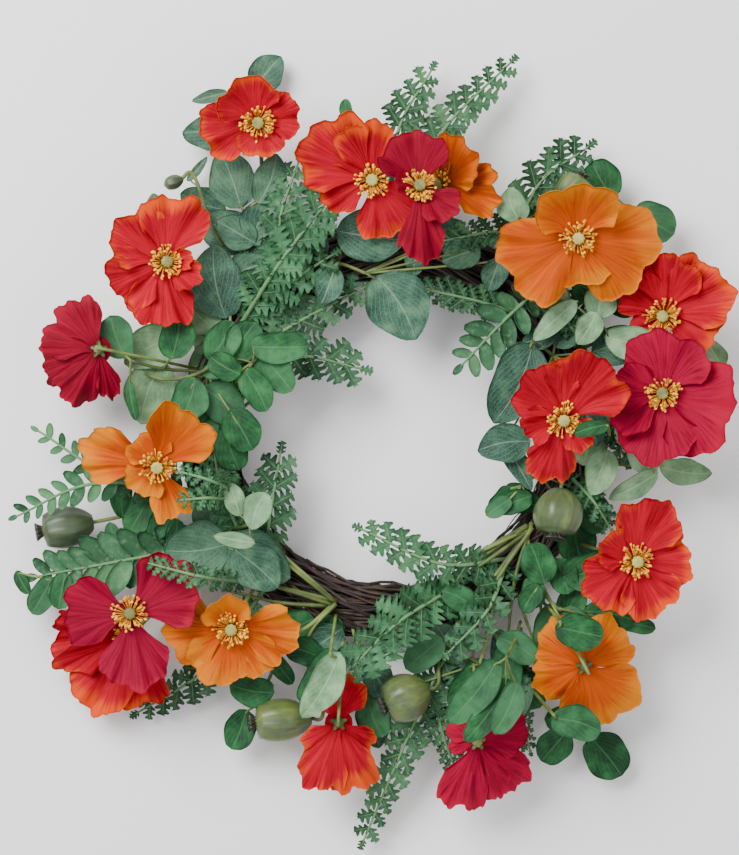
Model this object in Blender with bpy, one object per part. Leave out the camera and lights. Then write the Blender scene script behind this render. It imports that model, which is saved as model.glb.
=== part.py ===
"""Artificial poppy wreath: a twig ring dressed with silk poppies, seed pods, leaf sprays and fronds.

It lies on its back. X is to the right, Y is up the wreath as it would hang, Z points at the viewer.
Places below are millimetres from the ring's centre, and every place is carried along when the ring
is made larger or smaller, because dress_radius() and dress_height() tie it to the ring.
"""

from collections import namedtuple
from math import cos, exp, hypot, pi, radians, sin

import bmesh
import bpy
from mathutils import Matrix, Vector
from mathutils.bvhtree import BVHTree

MM = 0.001

# Driving sizes of the ring, in millimetres
RING_RADIUS = 139.0
RING_THICK_RADIUS = 24.0
RING_FLAT = 5.0
RING_TWIST_LOBES = 9
RING_LOBE_DEPTH = 1.8
RING_SEGMENTS = 24
RING_SIDES = 8

# Driving sizes of what is dressed on it, in millimetres
PETAL_THICKNESS = 1.6
LEAF_THICKNESS = 1.4
FROND_THICKNESS = 1.6
POPPY_STEM_RADIUS = 1.9
SPRAY_STEM_RADIUS = 1.5
SEED_HEAD_RADIUS = 6.5
SEED_HEAD_HEIGHT = 9.0
CLEARANCE = 0.35
LOWEST_DRESSING = 8.0
OUTER_DROOP = 0.20
STEM_SIDES = 4
TWIG_SIDES = 3
BIG_LEAF = 39.0
LEAF_STALK_REACH = 0.14
LEAF_FOLD = 0.10
LEAF_STEP = 3.0
LEAF_RISE = 6.0
FROND_LEAN = 0.45
FROND_LIFT = 0.10
POPPY_SPOKES = 12
POD_SIDES = 7
PETAL_OVERLAP = 1.26
PETAL_ARC = 0.12
PETAL_CORNER = 0.26
SHARP_DEGREES = 35.0
MERGE_DEGREES = 3.0

# The ring that the layout below was drawn round, so that a new ring size carries it along
LAYOUT_RING_RADIUS = 139.0
LAYOUT_RING_THICK_RADIUS = 24.0

Petal = namedtuple("Petal", "toward length spread rise")
Poppy = namedtuple("Poppy", "name colour x y z lean toward foot petals back")
Pod = namedtuple("Pod", "name x y z length width toward stem_to")
Leaf = namedtuple("Leaf", "x y length width toward")
Spray = namedtuple("Spray", "name kind z stem leaves")
Frond = namedtuple("Frond", "name z width pairs spines")


def poppy(name, colour, x, y, z, lean, toward, foot, petals, back=False):
    """One poppy: its heart's place, how far its face leans and where to, and the stem's foot."""
    return Poppy(name, colour, x, y, z, lean, toward, foot, [Petal(*p) for p in petals], back)


POPPIES = [
    poppy("poppy_right_large", "petal_crimson", 200, 27, 100, 14, 180, (160, 20),
          [(90, 46, 42, 18), (150, 40, 38, 24), (30, 54, 40, 14), (330, 58, 36, 8),
           (270, 56, 40, 8), (208, 42, 38, 18)]),
    poppy("poppy_top_crimson", "petal_crimson", 20, 182, 104, 16, 90, (30, 140),
          [(112, 50, 40, 18), (160, 36, 34, 24), (318, 38, 36, 22), (272, 56, 24, -8)]),
    poppy("poppy_right_inner", "petal_red", 126, 8, 94, 12, 270, (140, -20),
          [(62, 60, 42, 22), (122, 50, 42, 22), (188, 32, 34, 16), (318, 28, 40, 14),
           (256, 52, 26, -10)]),
    poppy("poppy_upper_right_orange", "petal_orange", 137, 142, 98, 10, 270, (152, 112),
          [(96, 44, 56, 34), (206, 60, 34, -2), (352, 58, 42, -4), (290, 24, 50, 10)]),
    poppy("poppy_lower_left_magenta", "petal_magenta", -195, -137, 88, 6, 90, (-130, -75),
          [(176, 50, 38, 10), (32, 58, 40, 12), (276, 56, 34, 4)]),
    poppy("poppy_top_red", "petal_red", -15, 186, 88, 10, 270, (-20, 140),
          [(142, 70, 36, 14), (100, 52, 36, 24), (196, 42, 36, 12), (288, 46, 44, -10)]),
    poppy("poppy_upper_left", "petal_red", -100, 230, 86, 14, 270, (-95, 125),
          [(112, 40, 52, 26), (190, 44, 40, 14), (20, 34, 44, 20), (280, 27, 56, 16)]),
    poppy("poppy_left_high", "petal_red", -169, 125, 84, 18, 0, (-120, 85),
          [(82, 52, 40, 18), (146, 50, 40, 10), (212, 58, 42, 10), (286, 50, 38, 14),
           (0, 32, 40, 22)]),
    poppy("poppy_left_orange", "petal_orange", -174, -27, 86, 10, 270, (-135, -20),
          [(56, 58, 36, 24), (166, 58, 24, 6), (288, 42, 26, 4)]),
    poppy("poppy_lower_right", "petal_red", 181, -98, 84, 12, 0, (125, -80),
          [(74, 50, 40, 16), (148, 34, 40, 18), (216, 46, 40, 10), (292, 44, 40, 8),
           (2, 43, 38, 10)]),
    poppy("poppy_lower_left_orange", "petal_orange", -120, -148, 74, 10, 270, (-95, -105),
          [(100, 32, 52, 30), (186, 50, 42, 6), (352, 50, 34, 8), (246, 44, 42, 4),
           (302, 42, 38, 6)]),
    poppy("poppy_upper_right_red", "petal_red", 203, 86, 74, 14, 225, (140, 60),
          [(34, 56, 40, 12), (82, 50, 38, 18), (136, 40, 36, 16), (340, 44, 38, 8),
           (230, 28, 50, 8)]),
    poppy("poppy_bottom_right_orange", "petal_orange", 143, -176, 84, 5, 300, (105, -100),
          [(128, 46, 40, -18), (40, 44, 38, -20), (294, 52, 52, -16), (214, 42, 24, -24)],
          back=True),
    poppy("poppy_bottom_drooping", "petal_red", -40, -219, 76, 10, 90, (-36, -140),
          [(90, 38, 46, -16), (250, 55, 26, -20), (286, 56, 26, -22), (222, 36, 30, -30),
           (318, 36, 30, -30)], back=True),
    poppy("poppy_bottom_crimson", "petal_crimson", 64, -234, 76, 10, 90, (60, -140),
          [(35, 40, 40, -12), (120, 26, 44, -12), (252, 54, 26, -20), (286, 46, 28, -24),
           (318, 50, 28, -22), (180, 22, 30, -20)], back=True),
    poppy("poppy_left_crimson", "petal_crimson", -219, 60, 84, 14, 0, (-140, 45),
          [(118, 44, 30, -18), (158, 44, 32, -24), (200, 45, 32, -24), (242, 46, 28, -18),
           (288, 38, 17, -10)], back=True),
    poppy("poppy_top_orange", "petal_orange", 42, 188, 66, 30, 190, (45, 130),
          [(40, 44, 36, 26), (350, 48, 34, 14), (88, 26, 34, 24), (290, 24, 34, 8)]),
    poppy("poppy_lower_left_red", "petal_red", -217, -158, 52, 40, 232, (-130, -85),
          [(178, 44, 34, 24), (228, 56, 38, 28), (285, 54, 36, 22), (130, 26, 34, 4)]),
]

PODS = [
    Pod("pod_right_inner", 124, -63, 66, 38, 37, 262, (138, -28)),
    Pod("pod_bottom", 9, -201, 66, 38, 37, 200, (45, -150)),
    Pod("pod_bottom_left", -85, -220, 52, 48, 33, 184, (-40, -150)),
    Pod("pod_left", -249, -74, 50, 44, 32, 190, (-130, -50)),
    Pod("bud_upper_left", -165, 187, 64, 15, 11, 200, (-110, 110)),
    Pod("pod_upper_right_lower", 118, 104, 50, 34, 26, 150, (144, 70)),
    Pod("pod_upper_right_top", 137, 181, 56, 32, 26, 60, (100, 120)),
]

SPRAYS = [
    Spray("leaf_spray_inner_top", "leaf_mottled", 56, [(-62, 128), (-40, 126), (-20, 118)],
          [Leaf(3, 92, 56, 48, 302), Leaf(-16, 146, 52, 40, 352)]),
    Spray("leaf_spray_inner_right", "leaf_mottled", 58, [(140, 30), (122, 56), (105, 66)],
          [Leaf(91, 35, 66, 44, 244), Leaf(84, -12, 40, 30, 190), Leaf(148, 4, 34, 24, 290)]),
    Spray("leaf_spray_inner_lower_right", "leaf_round", 50, [(136, -36), (112, -34), (98, -42)],
          [Leaf(96, -24, 26, 16, 120), Leaf(92, -54, 28, 18, 200)]),
    Spray("leaf_spray_upper_left", "leaf_mottled", 48, [(-106, 92), (-114, 130), (-112, 165)],
          [Leaf(-130, 112, 56, 42, 100), Leaf(-122, 190, 46, 36, 110), Leaf(-94, 190, 40, 26, 70),
           Leaf(-118, 150, 34, 26, 150)]),
    Spray("leaf_spray_lower_left", "leaf_mottled", 54, [(-96, -100), (-112, -92), (-124, -78)],
          [Leaf(-147, -88, 50, 44, 186), Leaf(-102, -104, 44, 36, 320), Leaf(-118, -52, 24, 15, 110),
           Leaf(-100, -60, 26, 19, 40)]),
    Spray("leaf_spray_top_left", "leaf_mottled", 40, [(-104, 104), (-128, 170), (-122, 226),
                                                      (-104, 256)],
          [Leaf(-95, 274, 32, 27, 50), Leaf(-143, 224, 34, 26, 170),
           Leaf(-144, 174, 36, 28, 160)]),
    Spray("leaf_spray_behind_left", "leaf_pale", 40, [(-118, 66), (-140, 72), (-158, 76)],
          [Leaf(-182, 60, 46, 34, 205), Leaf(-147, 92, 42, 34, 130)]),
    Spray("eucalyptus_spray_left", "leaf_round", 66, [(-122, 22), (-140, 42), (-172, 46),
                                                     (-196, 52)],
          [Leaf(-206, 70, 34, 26, 110), Leaf(-162, 70, 34, 27, 80), Leaf(-127, 66, 34, 26, 60),
           Leaf(-153, 23, 34, 28, 250), Leaf(-113, 0, 34, 28, 300)]),
    Spray("eucalyptus_spray_left_inner", "leaf_round", 76, [(-124, 38), (-112, 44), (-104, 50)],
          [Leaf(-84, 62, 44, 24, 0), Leaf(-102, 30, 36, 22, 300)]),
    Spray("eucalyptus_spray_upper_right", "leaf_round", 46, [(120, 104), (150, 140), (176, 172)],
          [Leaf(161, 191, 32, 30, 120), Leaf(199, 158, 36, 31, 330)]),
    Spray("pale_spray_upper_right", "leaf_pale", 62, [(140, 62), (150, 66), (158, 78)],
          [Leaf(157, 97, 27, 25, 80), Leaf(182, 66, 46, 26, 350),
           Leaf(122, 82, 44, 17, 222)]),
    Spray("leaf_spray_right", "leaf_pale", 54, [(150, -20), (172, -26), (196, -26)],
          [Leaf(182, -42, 42, 17, 208), Leaf(222, -30, 40, 20, 352), Leaf(156, -32, 36, 24, 250),
           Leaf(180, 4, 34, 20, 60)]),
    Spray("eucalyptus_spray_lower_right", "leaf_round", 60, [(98, -78), (110, -116), (124, -134)],
          [Leaf(109, -100, 32, 26, 110), Leaf(136, -150, 36, 30, 300),
           Leaf(164, -140, 38, 22, 350)]),
    Spray("eucalyptus_spray_bottom_right", "leaf_round", 44, [(90, -110), (112, -170), (134, -212),
                                                            (146, -228)],
          [Leaf(164, -250, 38, 34, 310), Leaf(124, -241, 30, 26, 230)]),
    Spray("leaf_spray_bottom_left", "leaf_round", 48, [(-60, -122), (-84, -168), (-100, -206)],
          [Leaf(-116, -228, 32, 24, 250), Leaf(-106, -196, 34, 24, 170), Leaf(-56, -186, 48, 24, 240)]),
    Spray("leaf_spray_bottom", "leaf_round", 56, [(80, -112), (74, -150), (66, -176)],
          [Leaf(58, -192, 46, 22, 235), Leaf(72, -208, 48, 22, 240), Leaf(94, -164, 34, 22, 330)]),
]

FRONDS = [
    Frond("fern_top_left_long", 72, 44, 4, [[(-118, 75), (-80, 130), (-34, 189)]]),
    Frond("fern_top_left_middle", 64, 36, 4, [[(-106, 88), (-74, 112), (-44, 132)]]),
    Frond("fern_left_dark", 46, 44, 4, [[(-112, 56), (-70, 82), (-20, 108)],
                                        [(-112, 56), (-66, 56), (-22, 46)]]),
    Frond("fern_upper_left", 60, 36, 4, [[(-84, 118), (-84, 158), (-70, 204)]]),
    Frond("fern_inner_top_right", 46, 32, 4, [[(110, 84), (62, 98), (16, 108)]]),
    Frond("fern_oval_inner_right", 56, 40, 4, [[(118, 112), (86, 84), (52, 48)]]),
    Frond("fern_top", 52, 38, 4, [[(6, 143), (36, 222), (92, 282)],
                                  [(6, 143), (4, 222), (31, 276)]]),
    Frond("fern_upper_right", 50, 44, 4, [[(84, 122), (110, 184), (150, 216)]]),
    Frond("fern_top_right_inner", 58, 32, 4, [[(116, 122), (86, 148), (36, 142)]]),
    Frond("fern_left_high", 60, 28, 4, [[(-138, -16), (-212, -30), (-270, 0)]]),
    Frond("fern_left_long", 68, 30, 6, [[(-132, -48), (-222, -40), (-286, -66)]]),
    Frond("fern_left_low", 58, 50, 4, [[(-120, -84), (-200, -98), (-272, -112)]]),
    Frond("fern_left_inner", 62, 38, 4, [[(-108, -94), (-128, -44), (-134, -8)]]),
    Frond("fern_inner_left_ruffled", 48, 44, 4, [[(-98, -106), (-92, -66), (-84, -16)]]),
    Frond("fern_bottom_bright", 74, 48, 4, [[(62, -112), (6, -142), (-36, -184)]]),
    Frond("fern_inner_bottom", 62, 38, 4, [[(88, -98), (36, -100), (-24, -74)],
                                           [(88, -98), (72, -134), (42, -168)]]),
    Frond("fern_bottom_long", 52, 38, 5, [[(66, -120), (22, -210), (-22, -316)]]),
    Frond("fern_bottom_left", 36, 38, 4, [[(-96, -120), (-142, -182), (-196, -218)]]),
]

COLOURS = {
    "twig": ((0.060, 0.034, 0.026), 0.85),
    "petal_red": ((0.620, 0.035, 0.022), 0.70),
    "petal_crimson": ((0.420, 0.008, 0.040), 0.70),
    "petal_magenta": ((0.450, 0.012, 0.060), 0.70),
    "petal_orange": ((0.860, 0.220, 0.010), 0.70),
    "leaf_mottled": ((0.110, 0.230, 0.160), 0.60),
    "leaf_round": ((0.050, 0.210, 0.075), 0.50),
    "leaf_pale": ((0.360, 0.500, 0.330), 0.60),
    "fern": ((0.110, 0.330, 0.150), 0.60),
    "pod": ((0.150, 0.190, 0.060), 0.50),
}


def clear_scene():
    for obj in list(bpy.data.objects):
        bpy.data.objects.remove(obj, do_unlink=True)


def material(name):
    found = bpy.data.materials.get(name)
    if found:
        return found
    colour, roughness = COLOURS[name]
    made = bpy.data.materials.new(name)
    made.use_nodes = True
    shader = made.node_tree.nodes["Principled BSDF"]
    shader.inputs["Base Color"].default_value = (*colour, 1.0)
    shader.inputs["Roughness"].default_value = roughness
    shader.inputs["Metallic"].default_value = 0.0
    return made


def dress_radius(x, y):
    """A layout place, moved out or in with the ring's own radius."""
    far = hypot(x, y)
    moved = far + RING_RADIUS - LAYOUT_RING_RADIUS
    return x * moved / far, y * moved / far


def dress_height(x, y, z):
    """A layout height, lifted with the top of the ring, and drooping outside its outer edge."""
    past_edge = max(0.0, hypot(x, y) - LAYOUT_RING_RADIUS - LAYOUT_RING_THICK_RADIUS)
    lifted = z + 2 * (RING_THICK_RADIUS - LAYOUT_RING_THICK_RADIUS)
    return max(lifted - OUTER_DROOP * past_edge, LOWEST_DRESSING)


def place(x, y, z):
    return Vector((*dress_radius(x, y), dress_height(x, y, z)))


def direction(degrees_round, rise=0.0):
    turn, lift = radians(degrees_round), radians(rise)
    return Vector((cos(turn) * cos(lift), sin(turn) * cos(lift), sin(lift)))


def through(points, steps):
    """Points read from a smooth curve through the given ones."""
    ends = [2 * points[0] - points[1], *points, 2 * points[-1] - points[-2]]
    made = []
    for k in range(len(points) - 1):
        a, b, c, d = ends[k:k + 4]
        for step in range(steps):
            t = step / steps
            made.append(0.5 * ((2 * b) + (c - a) * t + (2 * a - 5 * b + 4 * c - d) * t * t
                               + (3 * b - 3 * c + d - a) * t ** 3))
    return made + [points[-1].copy()]


class Sheet:
    """A thin curved plate: points and faces of its middle surface, given a thickness."""

    def __init__(self, points, faces, thickness):
        self.points, self.faces, self.thickness = points, faces, thickness

    def mesh(self, grow):
        normals = [Vector() for _ in self.points]
        edges = {}
        for face in self.faces:
            corners = [self.points[i] for i in face]
            normal = (corners[1] - corners[0]).cross(corners[-1] - corners[0]).normalized()
            for i, a in enumerate(face):
                normals[a] += normal
                edges[(a, face[(i + 1) % len(face)])] = normal
        rim = {pair: normal for pair, normal in edges.items() if pair[::-1] not in edges}
        outward = {}
        for (a, b), normal in rim.items():
            away = (self.points[b] - self.points[a]).cross(normal).normalized()
            for end in (a, b):
                outward[end] = outward.get(end, Vector()) + away
        half = self.thickness / 2 + grow
        top, bottom = [], []
        for i, point in enumerate(self.points):
            normal = normals[i].normalized()
            spot = point + outward[i].normalized() * grow if i in outward else point
            top.append(spot + normal * half)
            bottom.append(spot - normal * half)
        n = len(self.points)
        faces = [tuple(face) for face in self.faces]
        faces += [tuple(n + i for i in reversed(face)) for face in self.faces]
        faces += [(b, a, n + a, n + b) for a, b in rim]
        return top + bottom, faces


class Tube:
    """A round stem through points, each with its own radius."""

    def __init__(self, points, radii, sides):
        self.points, self.radii, self.sides = points, radii, sides

    def mesh(self, grow):
        path = [p.copy() for p in self.points]
        path[0] -= (path[1] - path[0]).normalized() * grow
        path[-1] += (path[-1] - path[-2]).normalized() * grow
        points, faces, m = [], [], self.sides
        side = (path[1] - path[0]).orthogonal().normalized()
        for i, spot in enumerate(path):
            along = (path[min(i + 1, len(path) - 1)] - path[max(i - 1, 0)]).normalized()
            side = (side - along * side.dot(along)).normalized()
            other = along.cross(side)
            radius = (self.radii[i] + grow) / cos(pi / m)
            points += [spot + (side * cos(2 * pi * k / m) + other * sin(2 * pi * k / m)) * radius
                       for k in range(m)]
        for i in range(len(path) - 1):
            for k in range(m):
                a, b = i * m + k, i * m + (k + 1) % m
                faces.append((a, b, b + m, a + m))
        last = (len(path) - 1) * m
        return points, faces + [tuple(range(m))[::-1], tuple(range(last, last + m))]


class Turned:
    """A closed body turned about an axis, from (along, radius) pairs between its two end points."""

    def __init__(self, base, axis, profile, sides, lobes=0, lobe_depth=0.0):
        self.base, self.axis, self.profile = base, axis.normalized(), profile
        self.sides, self.lobes, self.lobe_depth = sides, lobes, lobe_depth

    def mesh(self, grow):
        m = self.sides
        side = self.axis.orthogonal().normalized()
        other = self.axis.cross(side)
        points = [self.base + self.axis * (self.profile[0][0] - grow)]
        for along, radius in self.profile[1:-1]:
            for k in range(m):
                turn = 2 * pi * k / m
                wide = radius * (1 + self.lobe_depth * cos(self.lobes * turn)) + grow * 1.3
                points.append(self.base + self.axis * along
                              + (side * cos(turn) + other * sin(turn)) * wide)
        points.append(self.base + self.axis * (self.profile[-1][0] + grow))
        faces, last = [], len(points) - 1
        for k in range(m):
            b = (k + 1) % m
            faces.append((0, 1 + b, 1 + k))
            faces.append((last, last - m + k, last - m + b))
            for row in range(len(self.profile) - 3):
                low = 1 + row * m
                faces.append((low + k, low + b, low + b + m, low + k + m))
        return points, faces


def petal_reach(petals, turn):
    """How far the flower reaches at this angle, and how steeply it rises there."""
    weights, reach = [], 0.0
    for petal in petals:
        away = abs((turn - petal.toward + 180) % 360 - 180) / (petal.spread * PETAL_OVERLAP)
        lobe = 1 - PETAL_ARC * away ** 2 - PETAL_CORNER * away ** 5 if away < 1 else 0.0
        reach = max(reach, petal.length * lobe)
        weights.append(exp(-(away * 1.6) ** 2))
    total = sum(weights) or 1.0
    rise = sum(w * p.rise for w, p in zip(weights, petals)) / total
    shortest = min(p.length for p in petals) * 0.42
    return max(reach, shortest), rise


def petal_sheet(flower, heart, turned):
    """All petals of one poppy as one cupped, ruffled plate with the flower's outline."""
    shares = (0.5, 1.0)
    points, faces, n = [heart.copy()], [], POPPY_SPOKES
    for share in shares:
        for k in range(n):
            turn = 360 * k / n
            reach, rise = petal_reach(flower.petals, turn)
            far = reach * share
            steep = radians(rise) * (0.55 + 0.45 * share)
            ruffle = 0.045 * reach * share ** 2 * sin(5 * radians(turn) * 2)
            local = Vector((far * cos(steep) * cos(radians(turn)),
                            far * cos(steep) * sin(radians(turn)),
                            far * sin(steep) + ruffle))
            points.append(heart + turned @ local)
    for k in range(n):
        b = (k + 1) % n
        faces.append((0, 1 + k, 1 + b))
        for ring in range(len(shares) - 1):
            low = 1 + ring * n
            faces.append((low + k, low + k + n, low + b + n, low + b))
    return Sheet(points, faces, PETAL_THICKNESS)


def facing(lean, toward):
    """The turn that leans a flower's face this many degrees from straight up."""
    return (Matrix.Rotation(radians(toward), 3, "Z") @ Matrix.Rotation(radians(lean), 3, "Y")
            @ Matrix.Rotation(radians(-toward), 3, "Z"))


def poppy_shapes(flower):
    heart = place(flower.x, flower.y, flower.z)
    turned = facing(flower.lean, flower.toward)
    axis = turned @ Vector((0, 0, 1))
    foot = place(*flower.foot, LAYOUT_RING_THICK_RADIUS)
    behind = axis if flower.back else -axis
    knee = heart + behind * 18
    if flower.back:
        middle = (knee + foot) / 2 + Vector((0, 0, 26))
    else:
        knee.z = max(knee.z, RING_THICK_RADIUS * 1.2)
        middle = Vector(((knee.x + foot.x) / 2, (knee.y + foot.y) / 2,
                         max(knee.z * 0.55 + foot.z * 0.45, LOWEST_DRESSING + 10)))
    stem = [heart + behind * 0.2, knee, middle, foot]
    head = [(-1.0, 0), (0.5, SEED_HEAD_RADIUS * 0.75), (SEED_HEAD_HEIGHT * 0.8, SEED_HEAD_RADIUS),
            (SEED_HEAD_HEIGHT, 0)]
    return [petal_sheet(flower, heart, turned),
            Tube(stem, [POPPY_STEM_RADIUS * (1.5 if i == 0 else 1) for i in range(len(stem))],
                 STEM_SIDES),
            Turned(heart, -behind, head, 6)]


def pod_shapes(pod):
    centre = place(pod.x, pod.y, pod.z)
    axis = direction(pod.toward, 12)
    half = pod.length / 2
    start = centre - axis * half
    profile = [(0, 0)]
    profile += [(pod.length * t, pod.width / 2 * sin(pi * (0.10 + 0.80 * t) ** 0.9) ** 0.75)
                for t in (0.09, 0.36, 0.76)]
    profile += [(pod.length * 0.93, pod.width * 0.18), (pod.length, pod.width * 0.26),
                (pod.length * 1.01, 0)]
    foot = place(*pod.stem_to, LAYOUT_RING_THICK_RADIUS)
    stem = [start + axis * 2, start - axis * 9, (start + foot) / 2 + Vector((0, 0, 4)), foot]
    return [Turned(start, axis, profile, POD_SIDES),
            Tube(stem, [SPRAY_STEM_RADIUS] * len(stem), STEM_SIDES)]


def leaf_shapes(leaf, height, stem):
    """A leaf blade folded along its midrib, and its stalk back to the nearest point of the stem."""
    along = direction(leaf.toward, LEAF_RISE)
    across = Vector((0, 0, 1)).cross(along).normalized()
    up = along.cross(across)
    base = place(leaf.x, leaf.y, height) - along * leaf.length / 2
    rows = ((0.18, 0.64), (0.50, 1.0), (0.82, 0.70)) if leaf.length > BIG_LEAF else (
        (0.30, 0.92), (0.74, 0.84))
    half = across * leaf.width / 2 + up * leaf.width * LEAF_FOLD
    other_half = -across * leaf.width / 2 + up * leaf.width * LEAF_FOLD
    left = [base + along * leaf.length * share + half * wide for share, wide in rows]
    right = [base + along * leaf.length * share + other_half * wide for share, wide in rows]
    points = [base, *left, base + along * leaf.length, *right[::-1]]
    count = len(rows)
    tip = count + 1
    faces = [tuple(range(tip, -1, -1)), (0, *range(len(points) - 1, tip - 1, -1))]
    nearest = min(stem[1:], key=lambda p: (p - base).length)
    stalk = Tube([nearest, base + along * leaf.length * LEAF_STALK_REACH],
                 [SPRAY_STEM_RADIUS * 0.8] * 2, TWIG_SIDES)
    return [Sheet(points, faces, LEAF_THICKNESS), stalk]


def spray_shapes(spray):
    stations = len(spray.stem)
    spine = [place(x, y, spray.z * (k / (stations - 1)) + LAYOUT_RING_THICK_RADIUS * 1.3
                   * (1 - k / (stations - 1))) for k, (x, y) in enumerate(spray.stem)]
    shapes = [Tube(spine, [SPRAY_STEM_RADIUS] * stations, TWIG_SIDES)]
    for k, leaf in enumerate(spray.leaves):
        shapes += leaf_shapes(leaf, spray.z + LEAF_STEP * (k % 3), spine)
    return shapes


def frond_shapes(frond):
    return [frond_sheet(frond, spine) for spine in frond.spines]


def frond_sheet(frond, spine):
    """A pinnate frond: a narrow midrib strip with pointed leaflets along both edges."""
    (x0, y0), (x1, y1), (x2, y2) = spine
    ends = [place(x0, y0, LAYOUT_RING_THICK_RADIUS * 1.4), place(x1, y1, frond.z),
            place(x2, y2, frond.z * 0.9)]
    curve = through(ends, 12)
    count = frond.pairs + 1
    rows = [curve[round(i * (len(curve) - 1) / count)] for i in range(count + 1)]
    points, faces, strip = [], [], SPRAY_STEM_RADIUS * 1.5
    for i, spot in enumerate(rows):
        along = (rows[min(i + 1, count)] - rows[max(i - 1, 0)]).normalized()
        across = Vector((0, 0, 1)).cross(along).normalized()
        points += [spot + across * strip, spot - across * strip]
    for i in range(count):
        faces.append((2 * i, 2 * i + 1, 2 * i + 3, 2 * i + 2))
    for i in range(1, count):
        along = (rows[i + 1] - rows[i]).normalized()
        across = Vector((0, 0, 1)).cross(along).normalized()
        reach = frond.width / 2 * sin(pi * (0.20 + 0.76 * i / count)) ** 0.7
        lean = along * FROND_LEAN * reach + Vector((0, 0, 1)) * reach * FROND_LIFT
        middle = (rows[i] + rows[i + 1]) / 2
        left, right = len(points), len(points) + 1
        points += [middle + across * reach + lean, middle - across * reach + lean]
        faces += [(2 * i + 2, left, 2 * i), (2 * i + 1, right, 2 * i + 3)]
    return Sheet(points, [f[::-1] for f in faces], FROND_THICKNESS)


class Ring:
    """The twig bundle as one lumpy ring with a flat spot all round underneath."""

    def mesh(self, grow):
        points, faces = [], []
        for i in range(RING_SEGMENTS):
            turn = 2 * pi * i / RING_SEGMENTS
            for k in range(RING_SIDES):
                round_it = 2 * pi * (k + 0.5) / RING_SIDES
                lump = RING_LOBE_DEPTH * sin(RING_TWIST_LOBES * turn + 2 * round_it)
                thick = RING_THICK_RADIUS + lump * (0.5 + 0.5 * sin(round_it)) + grow
                out = RING_RADIUS + thick * cos(round_it)
                high = max(RING_THICK_RADIUS - RING_FLAT + thick * sin(round_it), -grow)
                points.append(Vector((out * cos(turn), out * sin(turn), high)))
        n, m = RING_SEGMENTS, RING_SIDES
        for i in range(n):
            for k in range(m):
                a, b = i * m + k, i * m + (k + 1) % m
                c, d = ((i + 1) % n) * m + k, ((i + 1) % n) * m + (k + 1) % m
                faces.append((a, c, d, b))
        return points, faces


def object_from(name, points, faces, slot):
    mesh = bpy.data.meshes.new(name)
    mesh.from_pydata([p * MM for p in points], [], faces)
    made = bpy.data.objects.new(name, mesh)
    bpy.context.scene.collection.objects.link(made)
    work = bmesh.new()
    work.from_mesh(mesh)
    bmesh.ops.triangulate(work, faces=work.faces)
    bmesh.ops.recalc_face_normals(work, faces=work.faces)
    work.to_mesh(mesh)
    work.free()
    mesh.materials.append(material(slot))
    return made


def apply_boolean(obj, others, operation):
    """Joins or cuts obj with all the others at once, keeps the result as its mesh and drops them."""
    group = bpy.data.collections.new("operands")
    for other in others:
        group.objects.link(other)
    modifier = obj.modifiers.new("boolean", "BOOLEAN")
    modifier.operation = operation
    modifier.solver = "EXACT"
    modifier.use_self = True
    modifier.operand_type = "COLLECTION"
    modifier.collection = group
    graph = bpy.context.evaluated_depsgraph_get()
    result = bpy.data.meshes.new_from_object(obj.evaluated_get(graph))
    obj.modifiers.clear()
    old = obj.data
    obj.data = result
    bpy.data.meshes.remove(old)
    for other in list(group.objects):
        bpy.data.objects.remove(other, do_unlink=True)
    bpy.data.collections.remove(group)


def keep_largest_body(obj):
    """Drops the crumbs that a cut leaves beside the main body."""
    work = bmesh.new()
    work.from_mesh(obj.data)
    bmesh.ops.remove_doubles(work, verts=work.verts, dist=1e-6)
    bmesh.ops.dissolve_degenerate(work, edges=work.edges, dist=1e-6)
    left, bodies = set(work.verts), []
    while left:
        body, edge = set(), [left.pop()]
        while edge:
            vertex = edge.pop()
            body.add(vertex)
            for link in vertex.link_edges:
                other = link.other_vert(vertex)
                if other in left:
                    left.remove(other)
                    edge.append(other)
        bodies.append(body)
    bodies.sort(key=len)
    for body in bodies[:-1]:
        bmesh.ops.delete(work, geom=list(body), context="VERTS")
    bmesh.ops.dissolve_limit(work, angle_limit=radians(MERGE_DEGREES), verts=work.verts, edges=work.edges)
    bmesh.ops.triangulate(work, faces=work.faces)
    work.to_mesh(obj.data)
    work.free()


def tree_of(objects):
    points, faces = [], []
    for obj in objects:
        start = len(points)
        points += [v.co.copy() for v in obj.data.vertices]
        faces += [tuple(start + i for i in p.vertices) for p in obj.data.polygons]
    return BVHTree.FromPolygons(points, faces)


class Dressing:
    """Builds each piece in turn and trims it where an earlier piece already is."""

    def __init__(self):
        self.done, self.objects = [], []

    def add(self, name, slot, shapes):
        made = [object_from(f"{name}_{k}", *shape.mesh(0.0), slot) for k, shape in enumerate(shapes)]
        body = made[0]
        body.name = name
        body.data.name = name
        if made[1:]:
            apply_boolean(body, made[1:], "UNION")
        mine = tree_of([body])
        for cutter_name, cutter_shapes, tree in self.done:
            if mine.overlap(tree):
                cutters = [object_from(f"{cutter_name}_cut", *shape.mesh(CLEARANCE), slot)
                           for shape in cutter_shapes]
                apply_boolean(body, cutters, "DIFFERENCE")
        keep_largest_body(body)
        grown = [object_from("grown", *shape.mesh(CLEARANCE), slot) for shape in shapes]
        self.done.append((name, shapes, tree_of(grown)))
        for obj in grown:
            bpy.data.objects.remove(obj, do_unlink=True)
        body.data.shade_smooth()
        body.data.set_sharp_from_angle(angle=radians(SHARP_DEGREES))
        self.objects.append(body)


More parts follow.
